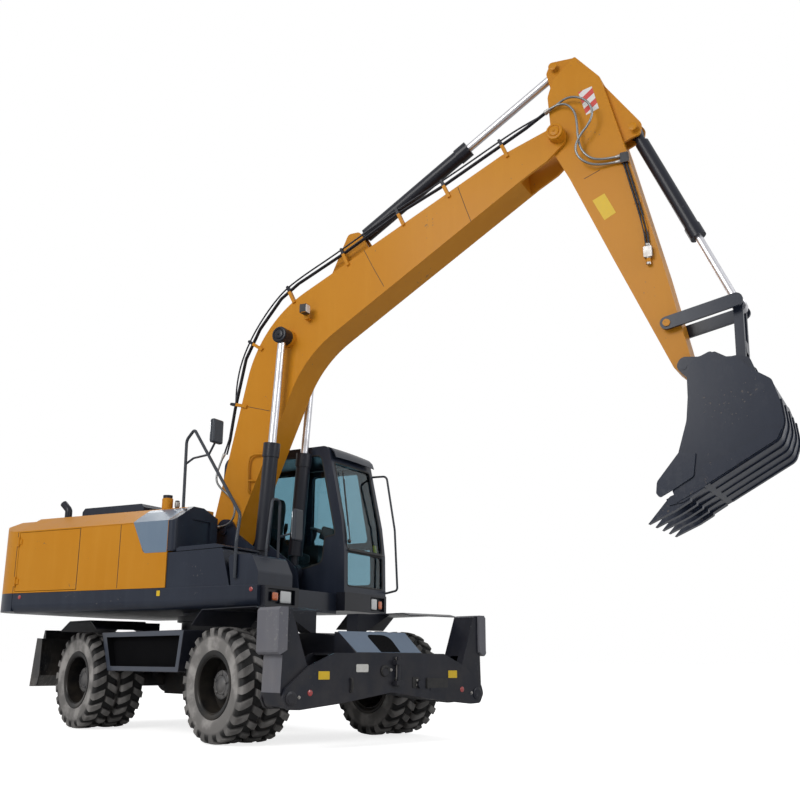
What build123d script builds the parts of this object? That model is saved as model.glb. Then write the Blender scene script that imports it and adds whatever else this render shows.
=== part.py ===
from build123d import *
import math
import os

# Wheeled excavator, lengths in millimetres, angles in degrees.
# X points to the end with the stabilizer beam, Y to the left, Z up.
# The origin is on the ground under the centre of the slew ring.
# The upper structure is drawn facing X and turned by SLEW_AT_REST at the end.

# Clearances
SEAT = 0.3                 # face to face rest of one piece on another
PIN_GAP = 0.3              # radial gap of an eye round its pin
RUNNING_GAP = 0.1          # radial gap of a hub on its spindle
SIDE_GAP = 7.0             # gap beside an eye, a fork or a door
SLEW_AT_REST = 19.4

# Hinges of doors and lids
HINGE_PIN = 7.0
HINGE_RADIUS = 12.0
HINGE_TAB = 24.0           # fixed tab behind the axis
HINGE_OFF = 14.0           # hinge axis outside the leaf's face

# Wheels and axles
TYRE_RADIUS = 527.0
TYRE_WIDTH = 278.0
BEAD_RADIUS = 262.0
TYRE_LUGS = 13             # on each half of the tread
LUG_OVERLAP = 14.0         # lugs reach this far past the middle of the tread
LUG_HEIGHT = 27.0
TWIN_MID_Y = 950.0         # middle of a pair of wheels
TWIN_SPACING = 320.0       # between the two tyres of a pair
RIM_FLANGE = 8.0
BEAD_HALF = 100.0
RIM_HEIGHT = 24.0
RIM_WALL = 10.0
FRONT_AXLE_X = 1545.0
WHEELBASE = 2840.0
REAR_AXLE_X = FRONT_AXLE_X - WHEELBASE
AXLE_Z = TYRE_RADIUS
KINGPIN_Y = 720.0
YOKE_END_RADIUS = 48.0
KINGPIN_RADIUS = 28.0
YOKE_GAP = 168.0           # height between the two arms of the axle's yoke
YOKE_ARM = 32.0
SPINDLE_RADIUS = 60.0
HUB_RADIUS = 150.0
HUB_REACH = 190.0          # hub cap out from the middle of the pair
HUB_DEPTH = 170.0          # hub in from the middle of the pair
AXLE_TUBE_RADIUS = 78.0
TIE_PIN_X = 215.0          # steering arm pin ahead of the axle
TIE_PIN_Y = 620.0
TIE_ROD_RADIUS = 16.0
TIE_EYE_HALF = 20.0
TIE_PIN_RADIUS = 14.0

# Chassis
FRAME_HALF_WIDTH = 330.0
FRAME_BOTTOM_Z = 690.0
FRAME_TOP_Z = 1010.0
FRAME_REAR_X = -1750.0
RING_RADIUS = 640.0
RING_TOP_Z = 1215.0
SLEW_GAP = 0.3
FENDER_PLATE = 8.0
FENDER_TOP_Z = 1222.0
FENDER_INNER_Y = 560.0
FENDER_OUTER_Y = 1245.0
SIDE_BOX_OUTER_Y = 1150.0
SIDE_BOX_INNER_Y = 700.0
SIDE_BOX_TOP_Z = 1040.0
SIDE_BOX_BOTTOM_Z = 630.0

# Stabilizer beam and legs
BEAM_FRONT_X = 2660.0
BEAM_DEPTH = 340.0
BEAM_PLATE = 25.0
LEG_PIN_Y = 1154.0
LEG_PIN_Z = 437.0
LEG_PIN_RADIUS = 40.0
LEG_BOSS_RADIUS = 92.0
BEAM_TOP_Z = 818.0
BEAM_TOP_HALF = 684.0
LEG_SLOT = 110.0
LEG_LUG_Y = 894.0          # cylinder pin on the leg
LEG_LUG_Z = 587.0
LEG_ANCHOR_Y = 170.0       # cylinder pin in the beam
LEG_ANCHOR_Z = 700.0
LEG_CYL_PIN_RADIUS = 20.0
PAD_OUTER_Y = 1300.0
PAD_BOTTOM_Z = 800.0
PAD_TOP_Z = 1175.0

# Dozer blade
BLADE_PIVOT_X = -1530.0
BLADE_PIVOT_Z = 560.0
BLADE_PIN_RADIUS = 25.0
BLADE_HALF_WIDTH = 1250.0
BLADE_ARM_Y = 380.0
BLADE_ARM_WIDTH = 70.0
BLADE_CYL_Y = 230.0
BLADE_ANCHOR_X = -1800.0
BLADE_ANCHOR_Z = 920.0
BLADE_LUG_X = -2200.0
BLADE_LUG_Z = 640.0
BLADE_CYL_PIN_RADIUS = 20.0

# Upper structure
UPPER_HALF_WIDTH = 1253.0
DECK_BOTTOM_Z = 1249.0
DECK_TOP_Z = 1471.0
DECK_FRONT_X = 1204.0
SEAM_REAR_X = -2200.0      # seam between the counterweight and the doors
TAIL_X = -2650.0
TAIL_CORNER = 450.0
HOOD_CREASE_Z = 2172.0
HOOD_TOP_Z = 2350.0
HOOD_TOP_HALF = 950.0
HOOD_FRONT_X = 30.0
HOOD_INNER_Y = -520.0
HOOD_SHEET = 30.0
DOOR_SEAM_1_X = -1222.0
DOOR_SEAM_2_X = -632.0
SEAM = 6.0
LID_REAR_X = -1760.0
LID_FRONT_X = -800.0
LID_HALF_WIDTH = 740.0
LID_TOP_Z = 2475.0
LID_HINGES_Y = (-480.0, 480.0)
DOOR_HINGES_Z = (1600.0, 2050.0)
CAB_HINGES_Z = (1680.0, 2950.0)
TOOL_HINGES_Y = (-1100.0, -780.0)

# Cab
CAB_INNER_Y = 316.0
CAB_OUTER_Y = 1272.0
CAB_REAR_X = -560.0
CAB_FLOOR_Z = 1487.0
CAB_ROOF_Z = 3180.0
CAB_WALL = 55.0
CAB_DOOR_REAR_X = 120.0
CAB_DOOR_FRONT_X = 1085.0
PANE = 6.0
FRONT_SPLIT_Z = 1960.0     # bar between the upper and lower windscreen
DOOR_WINDOWS = [
    [(200, 2130, 50), (1020, 2130, 50), (985, 2300, 50), (850, 3010, 50), (200, 3010, 50)],
    [(200, 1620, 50), (1060, 1620, 50), (1050, 2060, 50), (200, 2060, 50)],
]

# Boom, arm and bucket, drawn as they stand in the parked pose
FRONT_Y = -124.0           # the working gear stands off the middle
BOOM_HALF = 190.0
BOOM_FOOT = (60.0, 2150.0)
BOOM_TIP = (4125.0, 6062.0)
BOOM_PLATE = 32.0
BOOM_PIN_RADIUS = 45.0
BOOM_CYL_Y = 326.0
BOOM_CYL_FOOT = (645.0, 1721.0)
BOOM_CYL_HEAD = (828.0, 4322.0)
BOOM_CYL_RADIUS = 82.0
BOOM_ROD_RADIUS = 45.0
BOOM_ROD_START = 1090.0    # inner end of the rods, from the barrels' foot pins
BRACKET_PLATE = 32.0
BRACKET_GAP = 10.0
ARM_HALF = 150.0
CHEEK_INNER = 62.0         # faces of the cheeks that hold a cylinder's eye
CHEEK_OUTER = 92.0
ARM_CYL_FOOT = (1610.0, 5430.0)
ARM_CYL_HEAD = (4087.0, 6915.0)
ARM_CYL_RADIUS = 80.0
ARM_ROD_RADIUS = 45.0
BUCKET_CYL_FOOT = (4900.0, 5980.0)
LINK_TOP = (5759.0, 3956.0)
PIPE_RADIUS = 10.5
HOSE_RADIUS = 12.0
HOSE_ARM_UPPER = [(3997.3, -296, 6358.2), (4112, -298, 6421), (4246, -345, 6455), (4378, -392, 6405)]
HOSE_ARM_UPPER += [(4492, -404, 6315), (4545, -404, 6180), (4492, -402, 6052), (4392, -398, 5955)]
HOSE_ARM_UPPER += [(4325, -392, 5832), (4366, -380, 5702), (4480, -350, 5622), (4626, -304, 5612), (4769.7, -304, 5612)]
HOSE_ARM_LOWER = [(3997.3, -322, 6358.2), (4116, -326, 6416), (4256, -352, 6380), (4342, -366, 6252)]
HOSE_ARM_LOWER += [(4358, -366, 6100), (4356, -362, 5950), (4386, -354, 5800), (4480, -338, 5690)]
HOSE_ARM_LOWER += [(4626, -304, 5668), (4769.7, -304, 5668)]
HOSE_BOOM_FOOT = [(-19.7, -398, 2195), (128, -398, 2195), (233, -402, 2298), (237, -409, 2445), (136, -410, 2555)]
HOSE_BOOM_FOOT += [(37, -400, 2634), (-57, -377, 2742), (-39.8, -358.9, 2900.6), (-0.1, -342.0, 3047.7)]
PIPE_BRACKET = 175.0       # bracket down into the boom from the pipes' centre line
PIPE_Y = (FRONT_Y - 172.0, FRONT_Y - 198.0)
PIPE_FLARE = 20.0          # outer pipe's first end stands out, so that the raised boom passes its hose
PIPE_ROUTE = [(0, 3048), (47, 3222), (99, 3575), (225, 4169), (410, 4512), (695, 4839), (928, 4985)]
PIPE_BRACKETS = [(110, 3628, -235, 60), (318, 4341, -170, 110), (812, 4912, -100, 200), (1535, 5243, -94, 200)]
PIPE_BRACKETS += [(2246, 5586, -90, 200), (2807, 5799, -90, 200), (3500, 6113, -80, 190)]
PIPE_ROUTE += [(1535, 5243), (2246, 5586), (2807, 5799), (3779, 6239), (3997, 6358)]
BUCKET_CYL_RADIUS = 70.0
BUCKET_ROD_RADIUS = 38.0
ROCKER_PIN = (5124.0, 3828.0)
BUCKET_PIN = (5241.0, 3396.0)
HLINK_PIN = (5746.0, 3365.0)
EAR_PLATE = 30.0
ROCKER_PLATE = 34.0
HLINK_INNER = 70.0
HLINK_OUTER = 125.0
GEAR_PIN_RADIUS = 35.0
BUCKET_HALF = 560.0
BUCKET_SIDE_PLATE = 25.0
TOOTH_SPACING = 250.0
STRIP_Y = (-500.0, -250.0, 0.0, 250.0, 500.0)
CUTTER_PLATE = 18.0


def corner(before, here, after, radius):
    """Start, middle and end of the arc that rounds one corner."""
    p = Vector(*here)
    u = (Vector(*before) - p).normalized()
    v = (Vector(*after) - p).normalized()
    half = math.radians(u.get_angle(v)) / 2
    reach = radius / math.tan(half)
    inward = (u + v).normalized()
    middle = p + inward * (radius / math.sin(half) - radius)
    return p + u * reach, middle, p + v * reach


def loop_face(rows, place):
    """Face inside a closed loop of rows (a, b, radius); place lifts a and b to space."""
    spots = [place(row[0], row[1]) for row in rows]
    count = len(rows)
    arcs = []
    for i in range(count):
        radius = rows[i][2] if len(rows[i]) > 2 else 0
        if radius:
            arcs.append(corner(spots[i - 1], spots[i], spots[(i + 1) % count], radius))
        else:
            arcs.append((Vector(*spots[i]),) * 3)
    edges = []
    for i in range(count):
        start, middle, end = arcs[i]
        if (end - start).length > 1e-6:
            edges.append(Edge.make_three_point_arc(start, middle, end))
        following = arcs[(i + 1) % count][0]
        if (following - end).length > 1e-6:
            edges.append(Edge.make_line(end, following))
    return Face(Wire(edges))


def side_prism(rows, y0, y1):
    """Outline in X and Z, carried along Y."""
    face = loop_face(rows, lambda a, b: (a, y0, b))
    return extrude(face, amount=abs(y1 - y0), dir=(0, math.copysign(1, y1 - y0), 0))


def plan_prism(rows, z0, z1):
    """Outline in X and Y, carried up Z."""
    face = loop_face(rows, lambda a, b: (a, b, z0))
    return extrude(face, amount=z1 - z0, dir=(0, 0, 1))


def cross_prism(rows, x0, x1):
    """Outline in Y and Z, carried along X."""
    face = loop_face(rows, lambda a, b: (x0, a, b))
    return extrude(face, amount=x1 - x0, dir=(1, 0, 0))


def block(x0, x1, y0, y1, z0, z1):
    return Pos((x0 + x1) / 2, (y0 + y1) / 2, (z0 + z1) / 2) * Box(x1 - x0, y1 - y0, z1 - z0)


def rod(start, end, radius):
    """Round bar between two points."""
    a = Vector(*start)
    b = Vector(*end)
    return Solid.make_cylinder(radius, (b - a).length, Plane(origin=a, z_dir=b - a))


def cross_pin(spot, y0, y1, radius):
    """Round bar along Y at a spot (x, z)."""
    return rod((spot[0], y0, spot[1]), (spot[0], y1, spot[1]), radius)


def spun_y(rows, x, y, z):
    """Ring round an axis along Y from rows (axial, radial)."""
    face = loop_face(rows, lambda a, r: (r, a, 0))
    ring = revolve(face, axis=Axis.Y)
    return Pos(x, y, z) * ring


def bent_tube(points, radii, radius):
    """Tube of straight runs joined by arcs."""
    path = FilletPolyline(*points, radius=radii)
    disc = Plane(origin=path @ 0, z_dir=path % 0) * Circle(radius)
    return sweep(disc, path=path)


def mirror_y(shape):
    return mirror(shape, about=Plane.XZ)


def fuse(pieces):
    whole = pieces[0]
    for piece in pieces[1:]:
        whole = whole + piece
    return whole


def polar(origin, length, angle):
    a = math.radians(angle)
    return (origin[0] + length * math.cos(a), origin[1] + length * math.sin(a))


def bar_between(a, b, width_a, width_b, y0, y1):
    """Flat link with round ends between two spots (x, z)."""
    angle = math.degrees(math.atan2(b[1] - a[1], b[0] - a[0]))
    rows = [polar(a, width_a, angle - 90), polar(b, width_b, angle - 90)]
    rows += [polar(b, width_b, angle + 90), polar(a, width_a, angle + 90)]
    shape = side_prism(rows, y0, y1)
    shape = shape + cross_pin(a, y0, y1, width_a) + cross_pin(b, y0, y1, width_b)
    return shape


# Cylinders: barrel with a base eye, rod with an end eye
def barrel(foot, head, y, radius, length, pin, width, rod_radius):
    """Barrel from its base eye at foot towards head, bored for its rod."""
    axis = Vector(head[0] - foot[0], 0, head[1] - foot[1]).normalized()
    base = Vector(foot[0], y, foot[1])
    eye_radius = pin * 1.9
    cap_start = eye_radius * 2.1
    neck = rod(base, base + axis * (cap_start + 5), min(width / 2, radius) - 4)
    tube = rod(base + axis * cap_start, base + axis * length, radius)
    collar = rod(base + axis * (length - radius * 1.9), base + axis * length, radius * 1.14)
    eye = cross_pin(foot, y - width / 2, y + width / 2, eye_radius)
    bore = rod(base + axis * (cap_start + 20), base + axis * (length + 1), rod_radius + PIN_GAP)
    shape = (neck + tube + collar + eye) - bore
    return shape - cross_pin(foot, y - width, y + width, pin + PIN_GAP)


def piston_rod(foot, head, y, radius, inside, pin, width, stub):
    """Rod from inside the barrel to its eye, which carries its own pin out to the stub length."""
    axis = Vector(head[0] - foot[0], 0, head[1] - foot[1]).normalized()
    base = Vector(foot[0], y, foot[1])
    tip = Vector(head[0], y, head[1])
    eye_radius = pin * 1.9
    shape = rod(base + axis * inside, tip, radius)
    shape = shape + cross_pin(head, y - width / 2, y + width / 2, eye_radius)
    return shape + cross_pin(head, y - stub, y + stub, pin)


def inset(rows, gap):
    """The same closed outline drawn inside itself by a gap."""
    count = len(rows)
    turn = sum(rows[i - 1][0] * rows[i][1] - rows[i][0] * rows[i - 1][1] for i in range(count))
    sign = math.copysign(1, turn)
    moved = []
    for i in range(count):
        a, b, c = rows[i - 1], rows[i], rows[(i + 1) % count]
        u = Vector(b[0] - a[0], b[1] - a[1]).normalized()
        v = Vector(c[0] - b[0], c[1] - b[1]).normalized()
        n = Vector(-u.Y, u.X) * sign + Vector(-v.Y, v.X) * sign
        step = n * (2 * gap / (n.length * n.length))
        radius = rows[i][2] if len(rows[i]) > 2 else 0
        moved.append((b[0] + step.X, b[1] + step.Y, max(radius - gap, 0)))
    return moved


# Leaf hinges, drawn with the axis on Z, the leaf towards X and the outer face at Y = HINGE_OFF
def hinge_leaf():
    tab = block(0, 45, HINGE_OFF - 10, HINGE_OFF + 2, -30, 30)
    tube = rod((0, 0, -30), (0, 0, 30), HINGE_RADIUS)
    return (tab + tube) - rod((0, 0, -31), (0, 0, 31), HINGE_PIN + PIN_GAP)


def hinge_fixed():
    pin = rod((0, 0, -52), (0, 0, 52), HINGE_PIN)
    for low in (-52, 32):
        pin = pin + rod((0, 0, low), (0, 0, low + 20), HINGE_RADIUS)
        pin = pin + block(-HINGE_TAB, 0, HINGE_OFF - 10, HINGE_OFF + 2, low, low + 20)
    return pin


def lid_leaf(width):
    """Knuckle of a lid's hinge along Y, its tab towards X."""
    tab = block(0, HINGE_OFF + 2, -width / 2, width / 2, -5, 5)
    tube = cross_pin((0, 0), -width / 2, width / 2, HINGE_RADIUS)
    return (tab + tube) - cross_pin((0, 0), -width, width, HINGE_PIN + PIN_GAP)


def lid_fixed(width, drop):
    """Pin of a lid's hinge along Y with lugs down to the surface below."""
    reach = width / 2 + 22
    pin = cross_pin((0, 0), -reach, reach, HINGE_PIN)
    for side in (-1, 1):
        y0, y1 = sorted((side * (width / 2 + 2), side * reach))
        pin = pin + cross_pin((0, 0), y0, y1, HINGE_RADIUS)
        pin = pin + block(-HINGE_RADIUS, HINGE_RADIUS - 2, y0, y1, -drop, 0)
    return pin


nodes = {}


def keep(name, pieces, upper=False):
    """Store a node's solids, turned with the upper structure where it rides on it."""
    solids = []
    for piece in pieces:
        solids += list(piece.solids())
    if upper:
        solids = [solid.rotate(Axis.Z, SLEW_AT_REST) for solid in solids]
    nodes[name] = solids


# Lugged tyres of flat facets; the lugs of one half stand beside the gaps of the other
def lugged_tyre(x, y):
    """One facet of the tread rests on the ground, so radii are measured to the facets' middles."""
    count = 2 * TYRE_LUGS
    stretch = 1 / math.cos(math.pi / count)
    half = TYRE_WIDTH / 2
    carcass = TYRE_RADIUS - LUG_HEIGHT
    wall = [(half, TYRE_RADIUS - 97), (BEAD_HALF, BEAD_RADIUS + RIM_HEIGHT + 1), (BEAD_HALF, BEAD_RADIUS + SEAT)]
    lug_edge = (half * 0.88, TYRE_RADIUS)
    gap_edge = (half * 0.80, carcass)

    def spot(row, side, k):
        angle = (k - 0.5) * 2 * math.pi / count - math.pi / 2
        r = row[1] * stretch
        return Vector(x + r * math.cos(angle), y + side * row[0], AXLE_Z + r * math.sin(angle))

    faces = []

    def add_face(corners):
        faces.append(Face(Wire.make_polygon(corners, close=True)))

    for k in range(count):
        side = 1 if k % 2 else -1
        top = [lug_edge, (LUG_OVERLAP, TYRE_RADIUS), (-LUG_OVERLAP, TYRE_RADIUS)]
        add_face([spot(row, side, k) for row in top] + [spot(row, side, k + 1) for row in reversed(top)])
        floor = [gap_edge, (LUG_OVERLAP, carcass)]
        add_face([spot(row, -side, k) for row in floor] + [spot(row, -side, k + 1) for row in reversed(floor)])
        flank = [(LUG_OVERLAP, TYRE_RADIUS), (LUG_OVERLAP, carcass)]
        add_face([spot(row, -side, k) for row in flank] + [spot(row, -side, k + 1) for row in reversed(flank)])
        for edge, hand in ((lug_edge, side), (gap_edge, -side)):
            rows = [edge] + wall
            for a, b in zip(rows, rows[1:]):
                add_face([spot(a, hand, k), spot(b, hand, k), spot(b, hand, k + 1), spot(a, hand, k + 1)])
            cheek = [(LUG_OVERLAP, TYRE_RADIUS), lug_edge, wall[0], gap_edge, (LUG_OVERLAP, carcass)]
            add_face([spot(row, hand, k) for row in cheek])
        bead = wall[-1]
        add_face([spot(bead, -1, k), spot(bead, 1, k), spot(bead, 1, k + 1), spot(bead, -1, k + 1)])
    return Solid(Shell(faces))


# Rims in pairs with their hub
def rim():
    """Profiles of a pair of rims back to back with the hub between, outboard positive."""
    profiles = []
    inner = BEAD_RADIUS - RIM_WALL
    lip = BEAD_RADIUS + RIM_HEIGHT
    for offset in (-TWIN_SPACING / 2, TWIN_SPACING / 2):
        a0 = offset - BEAD_HALF - SEAT
        a1 = offset + BEAD_HALF + SEAT
        rows = [(a0 - RIM_FLANGE, inner), (a1 + RIM_FLANGE, inner), (a1 + RIM_FLANGE, lip), (a1, lip)]
        rows += [(a1, BEAD_RADIUS), (a0, BEAD_RADIUS), (a0, lip), (a0 - RIM_FLANGE, lip)]
        profiles.append(rows)
    dish = TWIN_SPACING / 2 - 60
    disc = [(-22, 100), (22, 100), (22, inner - 50), (dish, inner - 5), (dish, inner + 5)]
    disc += [(-dish, inner + 5), (-dish, inner - 5), (-22, inner - 50)]
    hub = [(-HUB_DEPTH, 0), (-HUB_DEPTH, HUB_RADIUS - 45), (-40, HUB_RADIUS - 10), (-40, HUB_RADIUS)]
    hub += [(70, HUB_RADIUS), (HUB_REACH - 40, HUB_RADIUS - 35), (HUB_REACH, HUB_RADIUS - 60)]
    hub += [(HUB_REACH, 0)]
    return profiles + [disc, hub]


def wheel(name, x, side):
    y = side * TWIN_MID_Y
    tyres = []
    for offset in (-TWIN_SPACING / 2, TWIN_SPACING / 2):
        tyres.append(lugged_tyre(x, y + offset))
    keep("tyres_" + name, tyres)
    signed = [[(side * row[0],) + tuple(row[1:]) for row in rows] for rows in rim()]
    body = fuse([spun_y(rows, x, y, AXLE_Z) for rows in signed])
    inner = rod((x, y - side * (HUB_DEPTH + 1), AXLE_Z), (x, y - side * 40, AXLE_Z), SPINDLE_RADIUS + RUNNING_GAP)
    keep("rims_" + name, [body - inner])


wheel("front_right", FRONT_AXLE_X, -1)
wheel("front_left", FRONT_AXLE_X, 1)
wheel("rear_right", REAR_AXLE_X, -1)
wheel("rear_left", REAR_AXLE_X, 1)

# Front axle with yokes for the kingpins
yoke_inner = YOKE_GAP / 2
yoke_outer = yoke_inner + YOKE_ARM
tube = rod((FRONT_AXLE_X, -590, AXLE_Z), (FRONT_AXLE_X, 590, AXLE_Z), AXLE_TUBE_RADIUS)
bowl = rod((FRONT_AXLE_X - 150, 0, AXLE_Z), (FRONT_AXLE_X + 110, 0, AXLE_Z), 150)
nose = rod((FRONT_AXLE_X - 290, 0, AXLE_Z), (FRONT_AXLE_X - 140, 0, AXLE_Z), 70)
saddle = block(FRONT_AXLE_X - 90, FRONT_AXLE_X + 90, -110, 110, AXLE_Z + 60, FRAME_BOTTOM_Z - SEAT)
front_axle = tube + bowl + nose + saddle
for side in (-1, 1):
    web = block(FRONT_AXLE_X - 42, FRONT_AXLE_X + 42, min(side * 550, side * 615),
                max(side * 550, side * 615), AXLE_Z - yoke_outer, AXLE_Z + yoke_outer)
    front_axle = front_axle + web
    for low in (-yoke_outer, yoke_inner):
        arm_rows = [(FRONT_AXLE_X - 42, side * 560), (FRONT_AXLE_X + 42, side * 560)]
        arm_rows += [(FRONT_AXLE_X + YOKE_END_RADIUS, side * KINGPIN_Y), (FRONT_AXLE_X - YOKE_END_RADIUS, side * KINGPIN_Y)]
        front_axle = front_axle + plan_prism(arm_rows, AXLE_Z + low, AXLE_Z + low + YOKE_ARM)
        start = (FRONT_AXLE_X, side * KINGPIN_Y, AXLE_Z + low)
        end = (FRONT_AXLE_X, side * KINGPIN_Y, AXLE_Z + low + YOKE_ARM)
        front_axle = front_axle + rod(start, end, YOKE_END_RADIUS)
    front_axle = front_axle - rod((FRONT_AXLE_X, side * KINGPIN_Y, AXLE_Z - 200),
                                  (FRONT_AXLE_X, side * KINGPIN_Y, AXLE_Z + 200), KINGPIN_RADIUS + PIN_GAP)


def knuckle(side):
    y = side * KINGPIN_Y
    tie_y = side * TIE_PIN_Y
    boss = rod((FRONT_AXLE_X, y, AXLE_Z - yoke_inner + 1), (FRONT_AXLE_X, y, AXLE_Z + yoke_inner - 1), 50)
    pin = rod((FRONT_AXLE_X, y, AXLE_Z - yoke_outer), (FRONT_AXLE_X, y, AXLE_Z + yoke_outer), KINGPIN_RADIUS)
    spindle = rod((FRONT_AXLE_X, y, AXLE_Z), (FRONT_AXLE_X, side * (TWIN_MID_Y - 45), AXLE_Z), SPINDLE_RADIUS)
    reach = rod((FRONT_AXLE_X, y, AXLE_Z), (FRONT_AXLE_X + TIE_PIN_X, tie_y, AXLE_Z), 16)
    eye = rod((FRONT_AXLE_X + TIE_PIN_X, tie_y, AXLE_Z - 16), (FRONT_AXLE_X + TIE_PIN_X, tie_y, AXLE_Z + 14), 24)
    shape = boss + pin + spindle + reach + eye
    if side < 0:
        stud = rod((FRONT_AXLE_X + TIE_PIN_X, tie_y, AXLE_Z), (FRONT_AXLE_X + TIE_PIN_X, tie_y, AXLE_Z + 60), TIE_PIN_RADIUS)
        shape = shape + stud
    return shape


keep("knuckle_right", [knuckle(-1)])
keep("knuckle_left", [knuckle(1)])
tie_z = AXLE_Z + 14 + 4 + TIE_EYE_HALF
tie_x = FRONT_AXLE_X + TIE_PIN_X
tie = rod((tie_x, -TIE_PIN_Y, tie_z), (tie_x, TIE_PIN_Y, tie_z), TIE_ROD_RADIUS)
for side in (-1, 1):
    tie_y = side * TIE_PIN_Y
    tie = tie + rod((tie_x, tie_y, tie_z - TIE_EYE_HALF), (tie_x, tie_y, tie_z + TIE_EYE_HALF), 30)
tie = tie - rod((tie_x, -TIE_PIN_Y, tie_z - 60), (tie_x, -TIE_PIN_Y, tie_z + 60), TIE_PIN_RADIUS + PIN_GAP)
keep("tie_rod", [tie])

# Rear axle with its gearbox
hub_inner = TWIN_MID_Y - 45
tube = rod((REAR_AXLE_X, -hub_inner, AXLE_Z), (REAR_AXLE_X, hub_inner, AXLE_Z), SPINDLE_RADIUS)
tube = tube + rod((REAR_AXLE_X, -700, AXLE_Z), (REAR_AXLE_X, 700, AXLE_Z), AXLE_TUBE_RADIUS)
bowl = rod((REAR_AXLE_X - 110, 0, AXLE_Z), (REAR_AXLE_X + 170, 0, AXLE_Z), 155)
gearbox = block(REAR_AXLE_X + 150, REAR_AXLE_X + 560, -190, 190, 365, FRAME_BOTTOM_Z - 20)
rear_axle = tube + bowl + gearbox
for side in (-1, 1):
    y0, y1 = sorted((side * 250, side * 320))
    rear_axle = rear_axle + block(REAR_AXLE_X - 80, REAR_AXLE_X + 80, y0, y1, AXLE_Z, FRAME_BOTTOM_Z - SEAT)
shaft_start = REAR_AXLE_X + 560 + SEAT
shaft_end = FRONT_AXLE_X - 290 - SEAT
shaft = rod((shaft_start, 0, AXLE_Z), (shaft_end, 0, AXLE_Z), 38)
shaft = shaft + rod((shaft_start, 0, AXLE_Z), (shaft_start + 30, 0, AXLE_Z), 70)
shaft = shaft + rod((shaft_end - 30, 0, AXLE_Z), (shaft_end, 0, AXLE_Z), 70)
keep("axles", [front_axle, rear_axle, shaft])

# Chassis frame with the lower slew ring
rows = [(FRAME_REAR_X, FRAME_BOTTOM_Z), (BEAM_FRONT_X - BEAM_DEPTH - SEAT, FRAME_BOTTOM_Z)]
rows += [(BEAM_FRONT_X - BEAM_DEPTH - SEAT, FRAME_TOP_Z - 40), (1900, FRAME_TOP_Z), (FRAME_REAR_X, FRAME_TOP_Z)]
frame = side_prism(rows, -FRAME_HALF_WIDTH, FRAME_HALF_WIDTH)
frame = frame + rod((0, 0, FRAME_TOP_Z - 20), (0, 0, RING_TOP_Z - 60), RING_RADIUS - 50)
frame = frame + rod((0, 0, RING_TOP_Z - 60), (0, 0, RING_TOP_Z), RING_RADIUS)
for side in (-1, 1):
    y0, y1 = sorted((side * (BLADE_ARM_Y - 75), side * (BLADE_ARM_Y - BLADE_ARM_WIDTH / 2 - SIDE_GAP)))
    ear = side_prism([(-1640, FRAME_BOTTOM_Z + 20), (-1640 + 45, 470, 40), (-1420 - 45, 470, 40), (-1420, FRAME_BOTTOM_Z + 20)], y0, y1)
    frame = frame + ear
    pin_y0, pin_y1 = sorted((side * (BLADE_ARM_Y - 60), side * (BLADE_ARM_Y + BLADE_ARM_WIDTH / 2 + 15)))
    frame = frame + cross_pin((BLADE_PIVOT_X, BLADE_PIVOT_Z), pin_y0, pin_y1, BLADE_PIN_RADIUS)
    for offset in (-63, 39):
        y0, y1 = sorted((side * (BLADE_CYL_Y + offset), side * (BLADE_CYL_Y + offset + 24)))
        cheek = side_prism([(FRAME_REAR_X + 30, 860), (BLADE_ANCHOR_X - 45, 880, 30), (BLADE_ANCHOR_X - 45, 965, 30), (FRAME_REAR_X + 30, 1000)], y0, y1)
        frame = frame + cheek
    y0, y1 = sorted((side * (BLADE_CYL_Y - 62), side * (BLADE_CYL_Y + 62)))
    frame = frame + cross_pin((BLADE_ANCHOR_X, BLADE_ANCHOR_Z), y0, y1, BLADE_CYL_PIN_RADIUS)
    y0, y1 = sorted((side * (FRAME_HALF_WIDTH - 20), side * (SIDE_BOX_INNER_Y - SEAT)))
    for x in (-500, 500):
        frame = frame + block(x - 60, x + 60, y0, y1, 760, 960)
keep("chassis_frame", [frame])

# Fenders on their brackets
FENDER_ROWS = [
    # name, sloped end x, z, flat from x, flat to x, end x, z
    ("rear", -1790, 1062, -1560, -1040, -880, 1075),
    ("front", 1135, 1072, 1310, 2200, 2300, 1190),
]
fenders = []
for name, x0, z0, x1, x2, x3, z3 in FENDER_ROWS:
    t = FENDER_PLATE
    top = FENDER_TOP_Z if name == "front" else FENDER_TOP_Z - 45
    rows = [(x0, z0), (x1, top - t), (x2, top - t), (x3, z3), (x3, z3 + t), (x2, top), (x1, top), (x0, z0 + t)]
    for side in (-1, 1):
        y0, y1 = sorted((side * FENDER_INNER_Y, side * FENDER_OUTER_Y))
        plate = side_prism(rows, y0, y1)
        gusset_x = (x1 + x2) / 2
        gusset = [(side * (FRAME_HALF_WIDTH - 60), FRAME_TOP_Z + SEAT), (side * (FRAME_HALF_WIDTH + 0), FRAME_TOP_Z + SEAT)]
        gusset += [(side * 700, top - t), (side * (FRAME_HALF_WIDTH - 60), top - t)]
        fenders.append(plate + cross_prism(gusset, gusset_x - 90, gusset_x + 90))

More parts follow.
